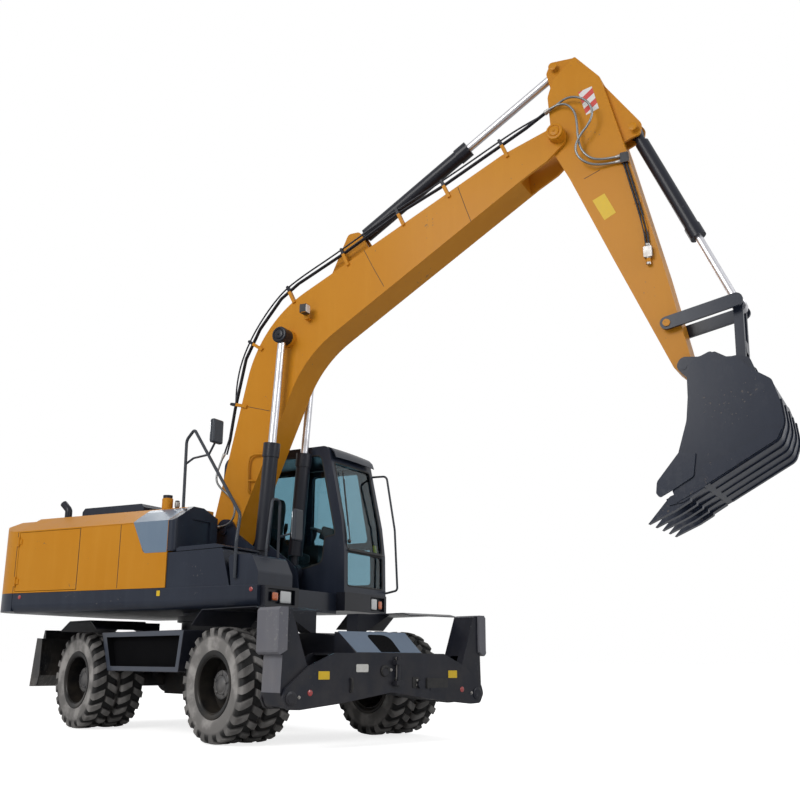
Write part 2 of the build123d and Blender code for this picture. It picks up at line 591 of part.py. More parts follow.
# Side boxes between the axles
boxes = []
for side in (-1, 1):
    rows = [(-915, SIDE_BOX_TOP_Z, 12), (-728, SIDE_BOX_BOTTOM_Z, 25), (776, SIDE_BOX_BOTTOM_Z, 25), (843, SIDE_BOX_TOP_Z, 12)]
    y0, y1 = sorted((side * SIDE_BOX_INNER_Y, side * SIDE_BOX_OUTER_Y))
    box = side_prism(rows, y0, y1)
    recess = [(-800, SIDE_BOX_TOP_Z - 50, 12), (-668, SIDE_BOX_BOTTOM_Z + 48, 20), (720, SIDE_BOX_BOTTOM_Z + 48, 20), (772, SIDE_BOX_TOP_Z - 50, 12)]
    y0, y1 = sorted((side * (SIDE_BOX_OUTER_Y - 70), side * (SIDE_BOX_OUTER_Y + 10)))
    boxes.append(box - side_prism(recess, y0, y1))
keep("fenders_and_boxes", fenders + boxes)

# Stabilizer beam: two plates, a box between them and a sloping cover behind
beam_rear_x = BEAM_FRONT_X - BEAM_DEPTH


def beam_plate(x0):
    half = [(0, BEAM_TOP_Z), (BEAM_TOP_HALF, BEAM_TOP_Z, 30), (980, 700, 60), (1215, 520, 40)]
    half += [(LEG_PIN_Y + LEG_BOSS_RADIUS, LEG_PIN_Z, 60), (1195, 345, 50), (1060, 340, 60), (620, 382, 300), (0, 468)]
    left = cross_prism(half, x0, x0 + BEAM_PLATE)
    return left + mirror_y(left)


beam = beam_plate(beam_rear_x) + beam_plate(BEAM_FRONT_X - BEAM_PLATE)
inner_x0 = beam_rear_x + BEAM_PLATE - 1
inner_x1 = BEAM_FRONT_X - BEAM_PLATE + 1
beam = beam + block(inner_x0, inner_x1, -BEAM_TOP_HALF, BEAM_TOP_HALF, BEAM_TOP_Z - 20, BEAM_TOP_Z)
for side in (-1, 1):
    rows = [(0, 468), (side * 600, 386), (side * 600, 410), (0, 492)]
    beam = beam + cross_prism(rows, inner_x0, inner_x1)
    for x0, x1 in ((2406, 2440), (2540, 2574)):
        y0, y1 = sorted((side * (LEG_ANCHOR_Y - 60), side * (LEG_ANCHOR_Y + 40)))
        beam = beam + block(x0, x1, y0, y1, LEG_ANCHOR_Z - 50, BEAM_TOP_Z - 10)
    beam = beam + rod((2406, side * LEG_ANCHOR_Y, LEG_ANCHOR_Z), (2574, side * LEG_ANCHOR_Y, LEG_ANCHOR_Z), LEG_CYL_PIN_RADIUS)
    beam = beam + rod((beam_rear_x - 12, side * LEG_PIN_Y, LEG_PIN_Z), (BEAM_FRONT_X + 12, side * LEG_PIN_Y, LEG_PIN_Z), LEG_PIN_RADIUS)
for z in (530, 716):
    beam = beam + block(BEAM_FRONT_X - 5, BEAM_FRONT_X + 62, 8, 98, z, z + 40)
beam = beam + rod((BEAM_FRONT_X + 34, 53, 520), (BEAM_FRONT_X + 34, 53, 790), 15)
beam = beam + rod((BEAM_FRONT_X - 5, -96, 649), (BEAM_FRONT_X + 22, -96, 649), 34)
beam = beam + rod((BEAM_FRONT_X - 5, 350, 537), (BEAM_FRONT_X + 32, 350, 537), 38)
beam = beam + block(BEAM_FRONT_X - 5, BEAM_FRONT_X + 5, 495, 850, 474, 572)
cover = [(beam_rear_x, FRAME_TOP_Z), (beam_rear_x + 60, FRAME_TOP_Z), (inner_x1, BEAM_TOP_Z + 1)]
cover += [(inner_x1, BEAM_TOP_Z - 20), (beam_rear_x, BEAM_TOP_Z - 20)]
beam = beam + side_prism(cover, -420, 420)
keep("stabilizer_beam", [beam])


def leg(side):
    s = side
    rows = [(s * (LEG_LUG_Y - 50), LEG_LUG_Z + 10, 40), (s * (LEG_LUG_Y + 75), 712), (s * 996, 780), (s * 1150, 1190, 15)]
    rows += [(s * 1215, 1190, 15), (s * 1235, 800), (s * (LEG_PIN_Y + LEG_BOSS_RADIUS), LEG_PIN_Z + 40)]
    rows += [(s * (LEG_PIN_Y + 40), LEG_PIN_Z - LEG_BOSS_RADIUS, 60), (s * (LEG_PIN_Y - 60), LEG_PIN_Z - 70, 40), (s * (LEG_LUG_Y - 20), LEG_LUG_Z - 60, 30)]
    x0 = beam_rear_x + BEAM_PLATE + SIDE_GAP
    x1 = BEAM_FRONT_X - BEAM_PLATE - SIDE_GAP
    shape = cross_prism(rows, x0, x1)
    middle = (x0 + x1) / 2
    slot = [(s * 700, 300), (s * 1195, 300), (s * 1195, 800), (s * 960, 800), (s * 700, 700)]
    shape = shape - cross_prism(slot, middle - LEG_SLOT / 2, middle + LEG_SLOT / 2)
    shape = shape - rod((x0 - 5, s * LEG_PIN_Y, LEG_PIN_Z), (x1 + 5, s * LEG_PIN_Y, LEG_PIN_Z), LEG_PIN_RADIUS + PIN_GAP)
    pad = [(s * 1205, PAD_TOP_Z + 25, 10), (s * (PAD_OUTER_Y - 20), PAD_TOP_Z + 25, 10), (s * PAD_OUTER_Y, PAD_TOP_Z, 10), (s * PAD_OUTER_Y, PAD_BOTTOM_Z + 20, 10), (s * (PAD_OUTER_Y - 25), PAD_BOTTOM_Z, 10), (s * 1205, PAD_BOTTOM_Z + 40, 5)]
    return shape + cross_prism(pad, x0 - 14, x1 + 14)


keep("leg_right", [leg(-1)])
keep("leg_left", [leg(1)])


def beam_cylinder(side):
    """Barrel and rod of one leg's cylinder, drawn along Y in the beam."""
    a = Vector(2490, side * LEG_ANCHOR_Y, LEG_ANCHOR_Z)
    b = Vector(2490, side * LEG_LUG_Y, LEG_LUG_Z)
    axis = (b - a).normalized()
    eye = LEG_CYL_PIN_RADIUS * 1.9
    tube = rod(a + axis * 20, a + axis * 640, 38) + rod(a - Vector(42, 0, 0), a + Vector(42, 0, 0), eye)
    tube = tube - rod(a + axis * 60, a + axis * 641, 25 + PIN_GAP)
    tube = tube - rod(a - Vector(60, 0, 0), a + Vector(60, 0, 0), LEG_CYL_PIN_RADIUS + PIN_GAP)
    ram = rod(a + axis * 75, b, 25) + rod(b - Vector(42, 0, 0), b + Vector(42, 0, 0), eye)
    return tube, ram


for side, name in ((-1, "right"), (1, "left")):
    tube, ram = beam_cylinder(side)
    keep("leg_cylinder_barrel_" + name, [tube])
    keep("leg_cylinder_rod_" + name, [ram])

# Dozer blade
mould_rows = [(-2527, 430), (-2490, 430), (-2320, 560), (-2285, 700), (-2295, 990), (-2392, 990), (-2345, 860, 150)]
mould_rows += [(-2335, 700, 150), (-2400, 560, 150)]
blade = side_prism(mould_rows, -BLADE_HALF_WIDTH + 5, BLADE_HALF_WIDTH - 5)
guard_rows = [(-2300, 980), (-2318, 1090), (-2345, 1090), (-2385, 980)]
blade = blade + side_prism(guard_rows, -BLADE_HALF_WIDTH + 55, BLADE_HALF_WIDTH - 55)
for side in (-1, 1):
    y0, y1 = sorted((side * (BLADE_HALF_WIDTH - 15), side * BLADE_HALF_WIDTH))
    blade = blade + side_prism([(-2527, 430), (-2330, 440), (-2275, 560), (-2275, 990), (-2425, 996)], y0, y1)
    y0, y1 = sorted((side * (BLADE_ARM_Y - BLADE_ARM_WIDTH / 2), side * (BLADE_ARM_Y + BLADE_ARM_WIDTH / 2)))
    arm_rows = [(BLADE_PIVOT_X + 50, 610, 40), (-1900, 640), (-2300, 800), (-2310, 520), (-1900, 500), (BLADE_PIVOT_X + 50, 505, 40)]
    blade = blade + side_prism(arm_rows, y0, y1)
    y0, y1 = sorted((side * (BLADE_ARM_Y - 60), side * (BLADE_ARM_Y + 60)))
    blade = blade - cross_pin((BLADE_PIVOT_X, BLADE_PIVOT_Z), y0, y1, BLADE_PIN_RADIUS + PIN_GAP)
    for offset in (-63, 39):
        y0, y1 = sorted((side * (BLADE_CYL_Y + offset), side * (BLADE_CYL_Y + offset + 24)))
        blade = blade + side_prism([(-2300, 570), (BLADE_LUG_X + 45, 600, 30), (BLADE_LUG_X + 45, 680, 30), (-2300, 740)], y0, y1)
keep("blade", [blade])
anchor = (BLADE_ANCHOR_X, BLADE_ANCHOR_Z)
lug = (BLADE_LUG_X, BLADE_LUG_Z)
keep("blade_cylinder_barrels", [barrel(anchor, lug, s * BLADE_CYL_Y, 42, 400, BLADE_CYL_PIN_RADIUS, 64, 22) for s in (-1, 1)])
keep("blade_cylinder_rods", [piston_rod(anchor, lug, s * BLADE_CYL_Y, 22, 105, BLADE_CYL_PIN_RADIUS, 64, 34) for s in (-1, 1)])

# Upper platform with the brackets for the boom
platform = block(SEAM_REAR_X + SEAT, 1150 - SEAT, -890, CAB_INNER_Y - SEAT, DECK_BOTTOM_Z, DECK_TOP_Z)
platform = platform + block(SEAM_REAR_X + SEAT, CAB_REAR_X - SEAT, CAB_INNER_Y - 10, 890, DECK_BOTTOM_Z, DECK_TOP_Z)
platform = platform + rod((0, 0, RING_TOP_Z + SLEW_GAP), (0, 0, DECK_BOTTOM_Z + 20), RING_RADIUS - 60)
foot_x, foot_z = BOOM_FOOT
cyl_x, cyl_z = BOOM_CYL_FOOT
for side in (-1, 1):
    inner = FRONT_Y + side * (BOOM_HALF + BRACKET_GAP)
    outer = inner + side * BRACKET_PLATE
    y0, y1 = sorted((inner, outer))
    rows = [(foot_x - 330, DECK_TOP_Z - 10), (foot_x - 150, foot_z - 60, 60), (foot_x - 60, foot_z + 140, 90), (foot_x + 90, foot_z + 130, 90)]
    rows += [(foot_x + 190, foot_z - 40, 60), (cyl_x + 20, cyl_z + 105, 70), (cyl_x + 110, cyl_z + 20, 70), (cyl_x + 150, DECK_TOP_Z - 10)]
    platform = platform + side_prism(rows, y0, y1)
    y0, y1 = sorted((inner, FRONT_Y + side * (BOOM_CYL_Y + 52)))
    platform = platform + cross_pin(BOOM_CYL_FOOT, y0, y1, BOOM_PIN_RADIUS)
platform = platform + block(-62, -20, FRONT_Y - 305, FRONT_Y - BOOM_HALF - BRACKET_GAP - 5, 2160, 2230)
platform = platform + cross_pin(BOOM_FOOT, FRONT_Y - BOOM_HALF - 70, FRONT_Y + BOOM_HALF + 70, BOOM_PIN_RADIUS)
keep("platform", [platform], upper=True)

# Decks along the sides and round the tail
half = UPPER_HALF_WIDTH


def deck_rows(side, inner):
    return [(side * inner, DECK_BOTTOM_Z), (side * half, DECK_BOTTOM_Z, 90), (side * half, DECK_TOP_Z, 10), (side * inner, DECK_TOP_Z)]


right_deck = cross_prism(deck_rows(-1, 890 + SEAT), SEAM_REAR_X + SEAM, DECK_FRONT_X)
left_deck = cross_prism(deck_rows(1, 890 + SEAT), SEAM_REAR_X + SEAM, CAB_REAR_X - SEAT)
tail_rows = [(SEAM_REAR_X, -half), (SEAM_REAR_X, half), (TAIL_X, half, TAIL_CORNER), (TAIL_X, -half, TAIL_CORNER)]
tail_band = plan_prism(tail_rows, DECK_BOTTOM_Z + 20, DECK_TOP_Z)
keep("side_decks", [right_deck, left_deck, tail_band], upper=True)
weight_rows = [(SEAM_REAR_X, -half), (SEAM_REAR_X, half), (TAIL_X, half, TAIL_CORNER), (TAIL_X, -half, TAIL_CORNER)]
weight = plan_prism(weight_rows, DECK_TOP_Z + SEAT, HOOD_TOP_Z - 25)
weight = weight & cross_prism([(-half, DECK_TOP_Z), (half, DECK_TOP_Z), (half, HOOD_CREASE_Z), (HOOD_TOP_HALF, HOOD_TOP_Z - 25), (-HOOD_TOP_HALF, HOOD_TOP_Z - 25), (-half, HOOD_CREASE_Z)], TAIL_X - 10, SEAM_REAR_X)
slope = side_prism([(TAIL_X - 10, HOOD_CREASE_Z - 60), (TAIL_X - 10, HOOD_TOP_Z + 20), (TAIL_X + 190, HOOD_TOP_Z + 20)], -half - 5, half + 5)
weight = weight - slope
keep("counterweight", [weight], upper=True)
engine = block(-1900, -950, -520, 520, DECK_TOP_Z + SEAT, 2150)
keep("engine_block", [engine], upper=True)


# Hood over the engine and the right side, open where the doors and lid stand
def hood_section(inset):
    i = inset
    return [(-half + i, DECK_TOP_Z + SEAT), (half - i, DECK_TOP_Z + SEAT), (half - i, HOOD_CREASE_Z - i * 0.4), (HOOD_TOP_HALF - i * 0.6, HOOD_TOP_Z - i), (-HOOD_TOP_HALF + i * 0.6, HOOD_TOP_Z - i), (-half + i, HOOD_CREASE_Z - i * 0.4)]


hood_rear = SEAM_REAR_X + SEAM
hood = cross_prism(hood_section(0), hood_rear, HOOD_FRONT_X)
hood = hood - block(DOOR_SEAM_2_X, HOOD_FRONT_X + 10, HOOD_INNER_Y, half + 10, DECK_TOP_Z - 10, HOOD_TOP_Z + 10)
cavity = cross_prism(hood_section(HOOD_SHEET), hood_rear + HOOD_SHEET, HOOD_FRONT_X - HOOD_SHEET)
cavity = cavity - block(DOOR_SEAM_2_X - HOOD_SHEET, HOOD_FRONT_X + 10, HOOD_INNER_Y - HOOD_SHEET, half + 10, DECK_TOP_Z - 10, HOOD_TOP_Z + 10)
hood = hood - cavity
door_z0 = DECK_TOP_Z + 14
door_z1 = HOOD_CREASE_Z - 14
opening = block(hood_rear + 24, DOOR_SEAM_1_X, -half - 10, -half + HOOD_SHEET + 10, door_z0, door_z1)
hood = hood - opening - mirror_y(opening)
lid_hole = block(LID_REAR_X, LID_FRONT_X, -LID_HALF_WIDTH, LID_HALF_WIDTH, HOOD_TOP_Z - 60, HOOD_TOP_Z + 20)
hood = hood - lid_hole
for side in (-1, 1):
    y0, y1 = sorted((side * (half - 5), side * (half + 5)))
    hood = hood - block(DOOR_SEAM_2_X, DOOR_SEAM_2_X + SEAM, y0, y1, door_z0, door_z1)
    hood = hood - block(DOOR_SEAM_1_X + 14, HOOD_FRONT_X - 14, y0, y1, door_z1, door_z1 + SEAM)
door_hinge_x = hood_rear + 24 + SEAM / 2
for z in DOOR_HINGES_Z:
    fixed = Pos(door_hinge_x, -half - HINGE_OFF, z) * hinge_fixed()
    hood = hood + fixed + mirror_y(fixed)
for y in LID_HINGES_Y:
    hood = hood + Pos(LID_REAR_X - SEAM, y, HOOD_TOP_Z + HINGE_RADIUS + 1) * lid_fixed(80, HINGE_RADIUS + 3)
keep("hood", [hood], upper=True)
door = block(hood_rear + 24 + SEAM, DOOR_SEAM_1_X - SEAM, -half, -half + HOOD_SHEET, door_z0 + SEAM, door_z1 - SEAM)
for z in DOOR_HINGES_Z:
    door = door + Pos(door_hinge_x, -half - HINGE_OFF, z) * hinge_leaf()
keep("service_door_right", [door], upper=True)
keep("service_door_left", [mirror_y(door)], upper=True)
lid = block(LID_REAR_X + SEAM, LID_FRONT_X - SEAM, -LID_HALF_WIDTH + SEAM, LID_HALF_WIDTH - SEAM, HOOD_TOP_Z - 30, LID_TOP_Z)
lid = lid - block(LID_REAR_X + 40, LID_FRONT_X - 40, -LID_HALF_WIDTH + 40, LID_HALF_WIDTH - 40, HOOD_TOP_Z - 40, LID_TOP_Z - 30)
lid = chamfer(lid.edges().filter_by(Axis.Y).group_by(Axis.Z)[-1], 40)
for i in range(7):
    slot_x = LID_REAR_X + 120 + i * 115
    lid = lid - block(slot_x, slot_x + 42, -430, 430, LID_TOP_Z - 60, LID_TOP_Z + 5)
for y in LID_HINGES_Y:
    lid = lid + Pos(LID_REAR_X - SEAM, y, HOOD_TOP_Z + HINGE_RADIUS + 1) * lid_leaf(80)
keep("engine_lid", [lid], upper=True)
exhaust = bent_tube([(-1900, -810, HOOD_TOP_Z + SEAT), (-1900, -810, HOOD_TOP_Z + 110), (-1990, -810, HOOD_TOP_Z + 190)], [60], 42)
filler = rod((-330, -880, HOOD_TOP_Z + SEAT), (-330, -880, HOOD_TOP_Z + 160), 52)
breather = rod((-190, -880, HOOD_TOP_Z + SEAT), (-190, -880, HOOD_TOP_Z + 90), 24)
keep("hood_fittings", [exhaust, filler, breather], upper=True)
cap_rows = [(HOOD_FRONT_X + SEAT, -half), (HOOD_FRONT_X + 75, -half, 60), (HOOD_FRONT_X + 75, HOOD_INNER_Y, 20), (HOOD_FRONT_X + SEAT, HOOD_INNER_Y)]
cap = plan_prism(cap_rows, 1850, HOOD_TOP_Z)
cap = cap & cross_prism([(-half, 1840), (HOOD_INNER_Y, 1840), (HOOD_INNER_Y, HOOD_TOP_Z - 90), (-780, HOOD_TOP_Z), (-HOOD_TOP_HALF, HOOD_TOP_Z), (-half, HOOD_CREASE_Z)], HOOD_FRONT_X, HOOD_FRONT_X + 100)
cap = cap - block(HOOD_FRONT_X + 55, HOOD_FRONT_X + 90, -950, -660, 1960, 2210)
keep("hood_cap", [cap], upper=True)
tool_y0 = -1240.0
tool_y1 = -640.0
toolbox = side_prism([(HOOD_FRONT_X + SEAT, DECK_TOP_Z + SEAT), (HOOD_FRONT_X + SEAT, 1832), (742, 1850, 20), (848, DECK_TOP_Z + SEAT)], tool_y0, tool_y1)
toolbox = toolbox - side_prism([(175, 1520), (175, 1900), (700, 1900), (790, 1520)], tool_y0 + 25, tool_y1 - 25)
step_box = side_prism([(868, DECK_TOP_Z + SEAT), (822, 1775, 40), (1110, 1775, 60), (DECK_FRONT_X - 5, 1600, 60), (DECK_FRONT_X - 5, DECK_TOP_Z + SEAT)], tool_y0, tool_y1)
for y in TOOL_HINGES_Y:
    toolbox = toolbox + Pos(138, y, 1850) * lid_fixed(80, 18)
keep("toolbox", [toolbox, step_box], upper=True)
tool_lid = side_prism([(150, 1840), (150, 1868, 10), (190, 1885, 20), (650, 1897, 30), (765, 1872, 10), (760, 1856)], tool_y0 - 6, tool_y1 + 6)
for y in TOOL_HINGES_Y:
    tool_lid = tool_lid + Pos(138, y, 1850) * lid_leaf(80)
keep("toolbox_lid", [tool_lid], upper=True)

# Lamp housings at both front corners
right_housing = block(DECK_FRONT_X + SEAT, 1264, -1200, -610, 1262, 1468)
right_housing = right_housing - block(1224, 1270, -1150, -680, 1290, 1440)
left_housing = block(1150, 1264, 310, 1265, 1283, CAB_FLOOR_Z - SEAT)
left_housing = left_housing - block(1224, 1270, 890, 1215, 1305, 1462)
lamps = []
for y0, y1, z0, z1 in ((-1070, -960, 1320, 1410), (-930, -730, 1300, 1430), (920, 1060, 1318, 1450), (1090, 1180, 1330, 1430)):
    lamps.append(block(1224 + SEAT, 1250, y0, y1, z0, z1))
keep("front_lamps", [right_housing, left_housing] + lamps, upper=True)

# Handrails with their mirrors
rail_r = 17
rail = bent_tube([(-60, -930, HOOD_TOP_Z + SEAT), (-60, -940, 3100), (60, -960, 3205), (930, -1215, 2180), (930, -1262, 1900), (930, -1262, 1540)], [90, 40, 120, 150], rail_r)
rail = rail + rod((930, -1262, 1560), (930, -1240 - SEAT, 1560), 12)
rail = rail + bent_tube([(-60, -936, 2830), (60, -950, 2885), (330, -1043, 2880)], [50], 12)
mirror_head = Pos(480, -1100, 3110) * Box(60, 170, 260)
mirror_head = fillet(mirror_head.edges(), 20)
rail = rail + rod((340, -1045, 2870), (470, -1100, 3000), 12) + mirror_head
rail_base = 1775 + SEAT
front_rail = bent_tube([(1040, -900, rail_base), (1040, -900, 1860), (1040, -820, 2390), (1040, -680, 2390), (1040, -690, 1860), (1040, -690, rail_base)], [100, 60, 60, 100], 14)
front_mirror = Pos(1240, -640, 2120) * Box(50, 150, 330)
front_mirror = fillet(front_mirror.edges(), 18)
front_rail = front_rail + rod((1040, -684, 2000), (1235, -645, 2050), 10) + front_mirror
cab_rail = bent_tube([(1010, CAB_OUTER_Y + SEAT, 2960), (1010, 1318, 2960), (1225, 1318, 2955), (1345, 1318, 2280), (1385, 1318, 1560), (1230, 1318, 1530), (1230, CAB_OUTER_Y + SEAT, 1530)], [18, 60, 300, 40, 18], 13)
keep("handrails", [rail, front_rail, cab_rail], upper=True)

# Cab shell with its windows cut
CAB_OUTLINE = [(CAB_REAR_X, CAB_FLOOR_Z), (1250, CAB_FLOOR_Z), (1240, 1950, 300), (1195, 2300, 500), (1000, CAB_ROOF_Z, 90), (CAB_REAR_X + 60, CAB_ROOF_Z - 20, 120)]
shell = side_prism(CAB_OUTLINE, CAB_INNER_Y, CAB_OUTER_Y)
inner_outline = [(CAB_REAR_X + CAB_WALL, CAB_FLOOR_Z + 40), (1190, CAB_FLOOR_Z + 40), (1182, 1950, 200), (1138, 2290, 400), (955, CAB_ROOF_Z - 60, 60), (CAB_REAR_X + 110, CAB_ROOF_Z - 80, 80)]
shell = shell - side_prism(inner_outline, CAB_INNER_Y + CAB_WALL, CAB_OUTER_Y - CAB_WALL)
right_window = [(-420, 1760, 60), (700, 1760, 60), (945, 1822, 60), (978, 2112, 40), (1118, 2130, 40), (905, 3072, 70), (-420, 3072, 90)]
shell = shell - side_prism(right_window, CAB_INNER_Y - 10, CAB_INNER_Y + CAB_WALL + 5)
door_hole = [(CAB_DOOR_REAR_X, CAB_FLOOR_Z + 40, 40), (1160, CAB_FLOOR_Z + 40, 40), (1150, 1950, 100), (1105, 2300, 200), (925, 3080, 60), (CAB_DOOR_REAR_X, 3080, 60)]
shell = shell - side_prism(door_hole, CAB_OUTER_Y - CAB_WALL - 5, CAB_OUTER_Y + 10)
left_window = [(-440, 1900, 60), (20, 1900, 60), (20, 3060, 60), (-440, 3060, 60)]
shell = shell - side_prism(left_window, CAB_OUTER_Y - CAB_WALL - 5, CAB_OUTER_Y + 10)
for low, high in ((1560, FRONT_SPLIT_Z - 16), (FRONT_SPLIT_Z + 16, 2990)):
    opening = [(CAB_INNER_Y + 70, low, 40), (CAB_OUTER_Y - 70, low, 40)]
    opening += [(CAB_OUTER_Y - 70, high, 40), (CAB_INNER_Y + 70, high, 40)]
    shell = shell - cross_prism(opening, 960, 1300)
door_hinge = (CAB_DOOR_REAR_X + SEAM / 2, CAB_OUTER_Y + HINGE_OFF)
for z in CAB_HINGES_Z:
    shell = shell + Pos(door_hinge[0], door_hinge[1], z) * Rot(0, 0, 180) * mirror(hinge_fixed(), about=Plane.YZ)
rear_hole = [(CAB_INNER_Y + 100, 2050, 60), (CAB_OUTER_Y - 100, 2050, 60), (CAB_OUTER_Y - 100, 3000, 60), (CAB_INNER_Y + 100, 3000, 60)]
shell = shell - cross_prism(rear_hole, CAB_REAR_X - 10, CAB_REAR_X + CAB_WALL + 40)
keep("cab_shell", [shell], upper=True)
base = block(CAB_REAR_X, 1150 - SEAT, CAB_INNER_Y, CAB_OUTER_Y - 15, 1283, CAB_FLOOR_Z - SEAT)
keep("cab_base", [base], upper=True)
cab_door = side_prism(inset(door_hole, SEAM), CAB_OUTER_Y - 45, CAB_OUTER_Y)
door_panes = []
for rows in DOOR_WINDOWS:
    cab_door = cab_door - side_prism(rows, CAB_OUTER_Y - 60, CAB_OUTER_Y + 10)
    door_panes.append(side_prism(inset(rows, SEAT), CAB_OUTER_Y - 20, CAB_OUTER_Y - 20 + PANE))
for z in CAB_HINGES_Z:
    cab_door = cab_door + Pos(door_hinge[0], door_hinge[1], z) * Rot(0, 0, 180) * mirror(hinge_leaf(), about=Plane.YZ)
keep("cab_door", [cab_door], upper=True)
panes = [side_prism(inset(right_window, SEAT), CAB_INNER_Y + 12, CAB_INNER_Y + 12 + PANE)]
panes.append(side_prism(inset(left_window, SEAT), CAB_OUTER_Y - 20, CAB_OUTER_Y - 20 + PANE))
panes.append(cross_prism(inset(rear_hole, SEAT), CAB_REAR_X + 45, CAB_REAR_X + 45 + PANE))
curved = side_prism(inset(CAB_OUTLINE, 18), CAB_INNER_Y, CAB_OUTER_Y)
curved = curved - side_prism(inset(CAB_OUTLINE, 18 + PANE), CAB_INNER_Y - 5, CAB_OUTER_Y + 5)
for low, high in ((1560, FRONT_SPLIT_Z - 16), (FRONT_SPLIT_Z + 16, 2990)):
    opening = [(CAB_INNER_Y + 70, low, 40), (CAB_OUTER_Y - 70, low, 40)]
    opening += [(CAB_OUTER_Y - 70, high, 40), (CAB_INNER_Y + 70, high, 40)]
    panes.append(curved & cross_prism(inset(opening, SEAT), 960, 1300))
keep("door_glass", door_panes, upper=True)
keep("cab_glass", panes, upper=True)
seat_base = block(-120, 330, 560, 1030, CAB_FLOOR_Z + 40 + SEAT, 1880)
console = block(-100, 420, 1050, 1180, CAB_FLOOR_Z + 40 + SEAT, 2120)
console_in = block(-100, 420, 410, 540, CAB_FLOOR_Z + 40 + SEAT, 2120)
column = rod((820, 794, 1560), (700, 794, 2200), 45) + rod((820, 794, CAB_FLOOR_Z + 40 + SEAT), (820, 794, 1570), 60)
keep("cab_controls", [seat_base, console, console_in, column], upper=True)
cushion = block(-100, 370, 570, 1020, 1880 + SEAT, 2010)
back_rest = side_prism([(-130, 2010 + SEAT, 20), (-10, 2010 + SEAT, 20), (-90, 2720, 50), (-190, 2720, 50)], 580, 1010)
keep("seat_cushions", [cushion, back_rest], upper=True)

# Boom
boom_rows = [(-150, 2160, 100), (422, 4585, 1380), (3500, 5992, 200), (4060, 6165, 60), (4225, 6090, 70), (4195, 5960, 60), (4000, 5800, 80), (3780, 5686, 200), (1062, 4091, 1300), (245, 2250, 100), (140, 1990, 90), (-70, 1990, 110)]
boom = side_prism(boom_rows, FRONT_Y - BOOM_HALF, FRONT_Y + BOOM_HALF)
tip_x, tip_z = BOOM_TIP
ear_gap = ARM_HALF + SIDE_GAP + 2
mouth = [(3720, 5400), (3620, 6300), (4600, 6500), (4600, 5400)]
boom = boom - side_prism(mouth, FRONT_Y - ear_gap, FRONT_Y + ear_gap)
for side in (-1, 1):
    y0, y1 = sorted((FRONT_Y + side * (BOOM_HALF - 5), FRONT_Y + side * (BOOM_HALF + 90)))
    boom = boom + cross_pin(BOOM_TIP, y0, y1, 92)
    boom = boom + cross_pin(BOOM_CYL_HEAD, *sorted((FRONT_Y + side * (BOOM_HALF - 5), FRONT_Y + side * (BOOM_HALF + 60))), 100)
boom = boom - cross_pin(BOOM_FOOT, FRONT_Y - BOOM_HALF - 10, FRONT_Y + BOOM_HALF + 10, BOOM_PIN_RADIUS + PIN_GAP)
boom = boom + cross_pin(BOOM_TIP, FRONT_Y - BOOM_HALF - 95, FRONT_Y + BOOM_HALF + 95, BOOM_PIN_RADIUS)
for side in (-1, 1):
    y0, y1 = sorted((FRONT_Y + side * CHEEK_INNER, FRONT_Y + side * CHEEK_OUTER))
    boom = boom + side_prism([(1250, 4900), (1540, 5520, 60), (1690, 5520, 60), (1900, 5150)], y0, y1)
boom = boom + cross_pin(ARM_CYL_FOOT, FRONT_Y - CHEEK_OUTER, FRONT_Y + CHEEK_OUTER, GEAR_PIN_RADIUS)
lamp_y = FRONT_Y - BOOM_HALF
boom = boom + block(1080, 1130, lamp_y - 70, lamp_y + 5, 4500, 4516) + block(1080, 1130, lamp_y - 78, lamp_y - 66, 4500, 4580)
lamp = Pos(1118, lamp_y - 128, 4600) * Box(76, 100, 104)
lamp = chamfer(lamp.faces().sort_by(Axis.X)[0].edges(), 18)
boom = boom + lamp
for x, z, dx, dz in PIPE_BRACKETS:
    foot = Vector(x, 0, z)
    rise = Vector(dx, 0, dz).normalized()
    run = Vector(rise.Z, 0, -rise.X)
    rows = []
    for a, b in ((-18, -PIPE_BRACKET), (18, -PIPE_BRACKET), (18, -PIPE_RADIUS - 2), (-18, -PIPE_RADIUS - 2)):
        spot = foot + run * a + rise * b
        rows.append((spot.X, spot.Z))
    boom = boom + side_prism(rows, PIPE_Y[1] - 16, FRONT_Y - BOOM_HALF + 26)
keep("boom", [boom], upper=True)
keep("boom_cylinder_barrels", [barrel(BOOM_CYL_FOOT, BOOM_CYL_HEAD, FRONT_Y + s * BOOM_CYL_Y, BOOM_CYL_RADIUS, 1360, BOOM_PIN_RADIUS, 92, BOOM_ROD_RADIUS) for s in (-1, 1)], upper=True)
keep("boom_cylinder_rods", [piston_rod(BOOM_CYL_FOOT, BOOM_CYL_HEAD, FRONT_Y + s * BOOM_CYL_Y, BOOM_ROD_RADIUS, BOOM_ROD_START, BOOM_PIN_RADIUS, 92, 62) for s in (-1, 1)], upper=True)
keep("arm_cylinder_barrel", [barrel(ARM_CYL_FOOT, ARM_CYL_HEAD, FRONT_Y, ARM_CYL_RADIUS, 1660, GEAR_PIN_RADIUS, 110, ARM_ROD_RADIUS)], upper=True)
keep("arm_cylinder_rod", [piston_rod(ARM_CYL_FOOT, ARM_CYL_HEAD, FRONT_Y, ARM_ROD_RADIUS, 920, GEAR_PIN_RADIUS, 110, 58)], upper=True)

# Two pipes along the boom, and the hoses that join them to the platform and the arm
pipes = []
for y, flare in zip(PIPE_Y, (0, PIPE_FLARE)):
    points = [(x, y, z) for x, z in PIPE_ROUTE]
    points[0] = (PIPE_ROUTE[0][0], y - flare, PIPE_ROUTE[0][1])
    bends = [90] * (len(points) - 2)
    pipes.append(bent_tube(points, bends, PIPE_RADIUS))
keep("boom_pipes", pipes, upper=True)


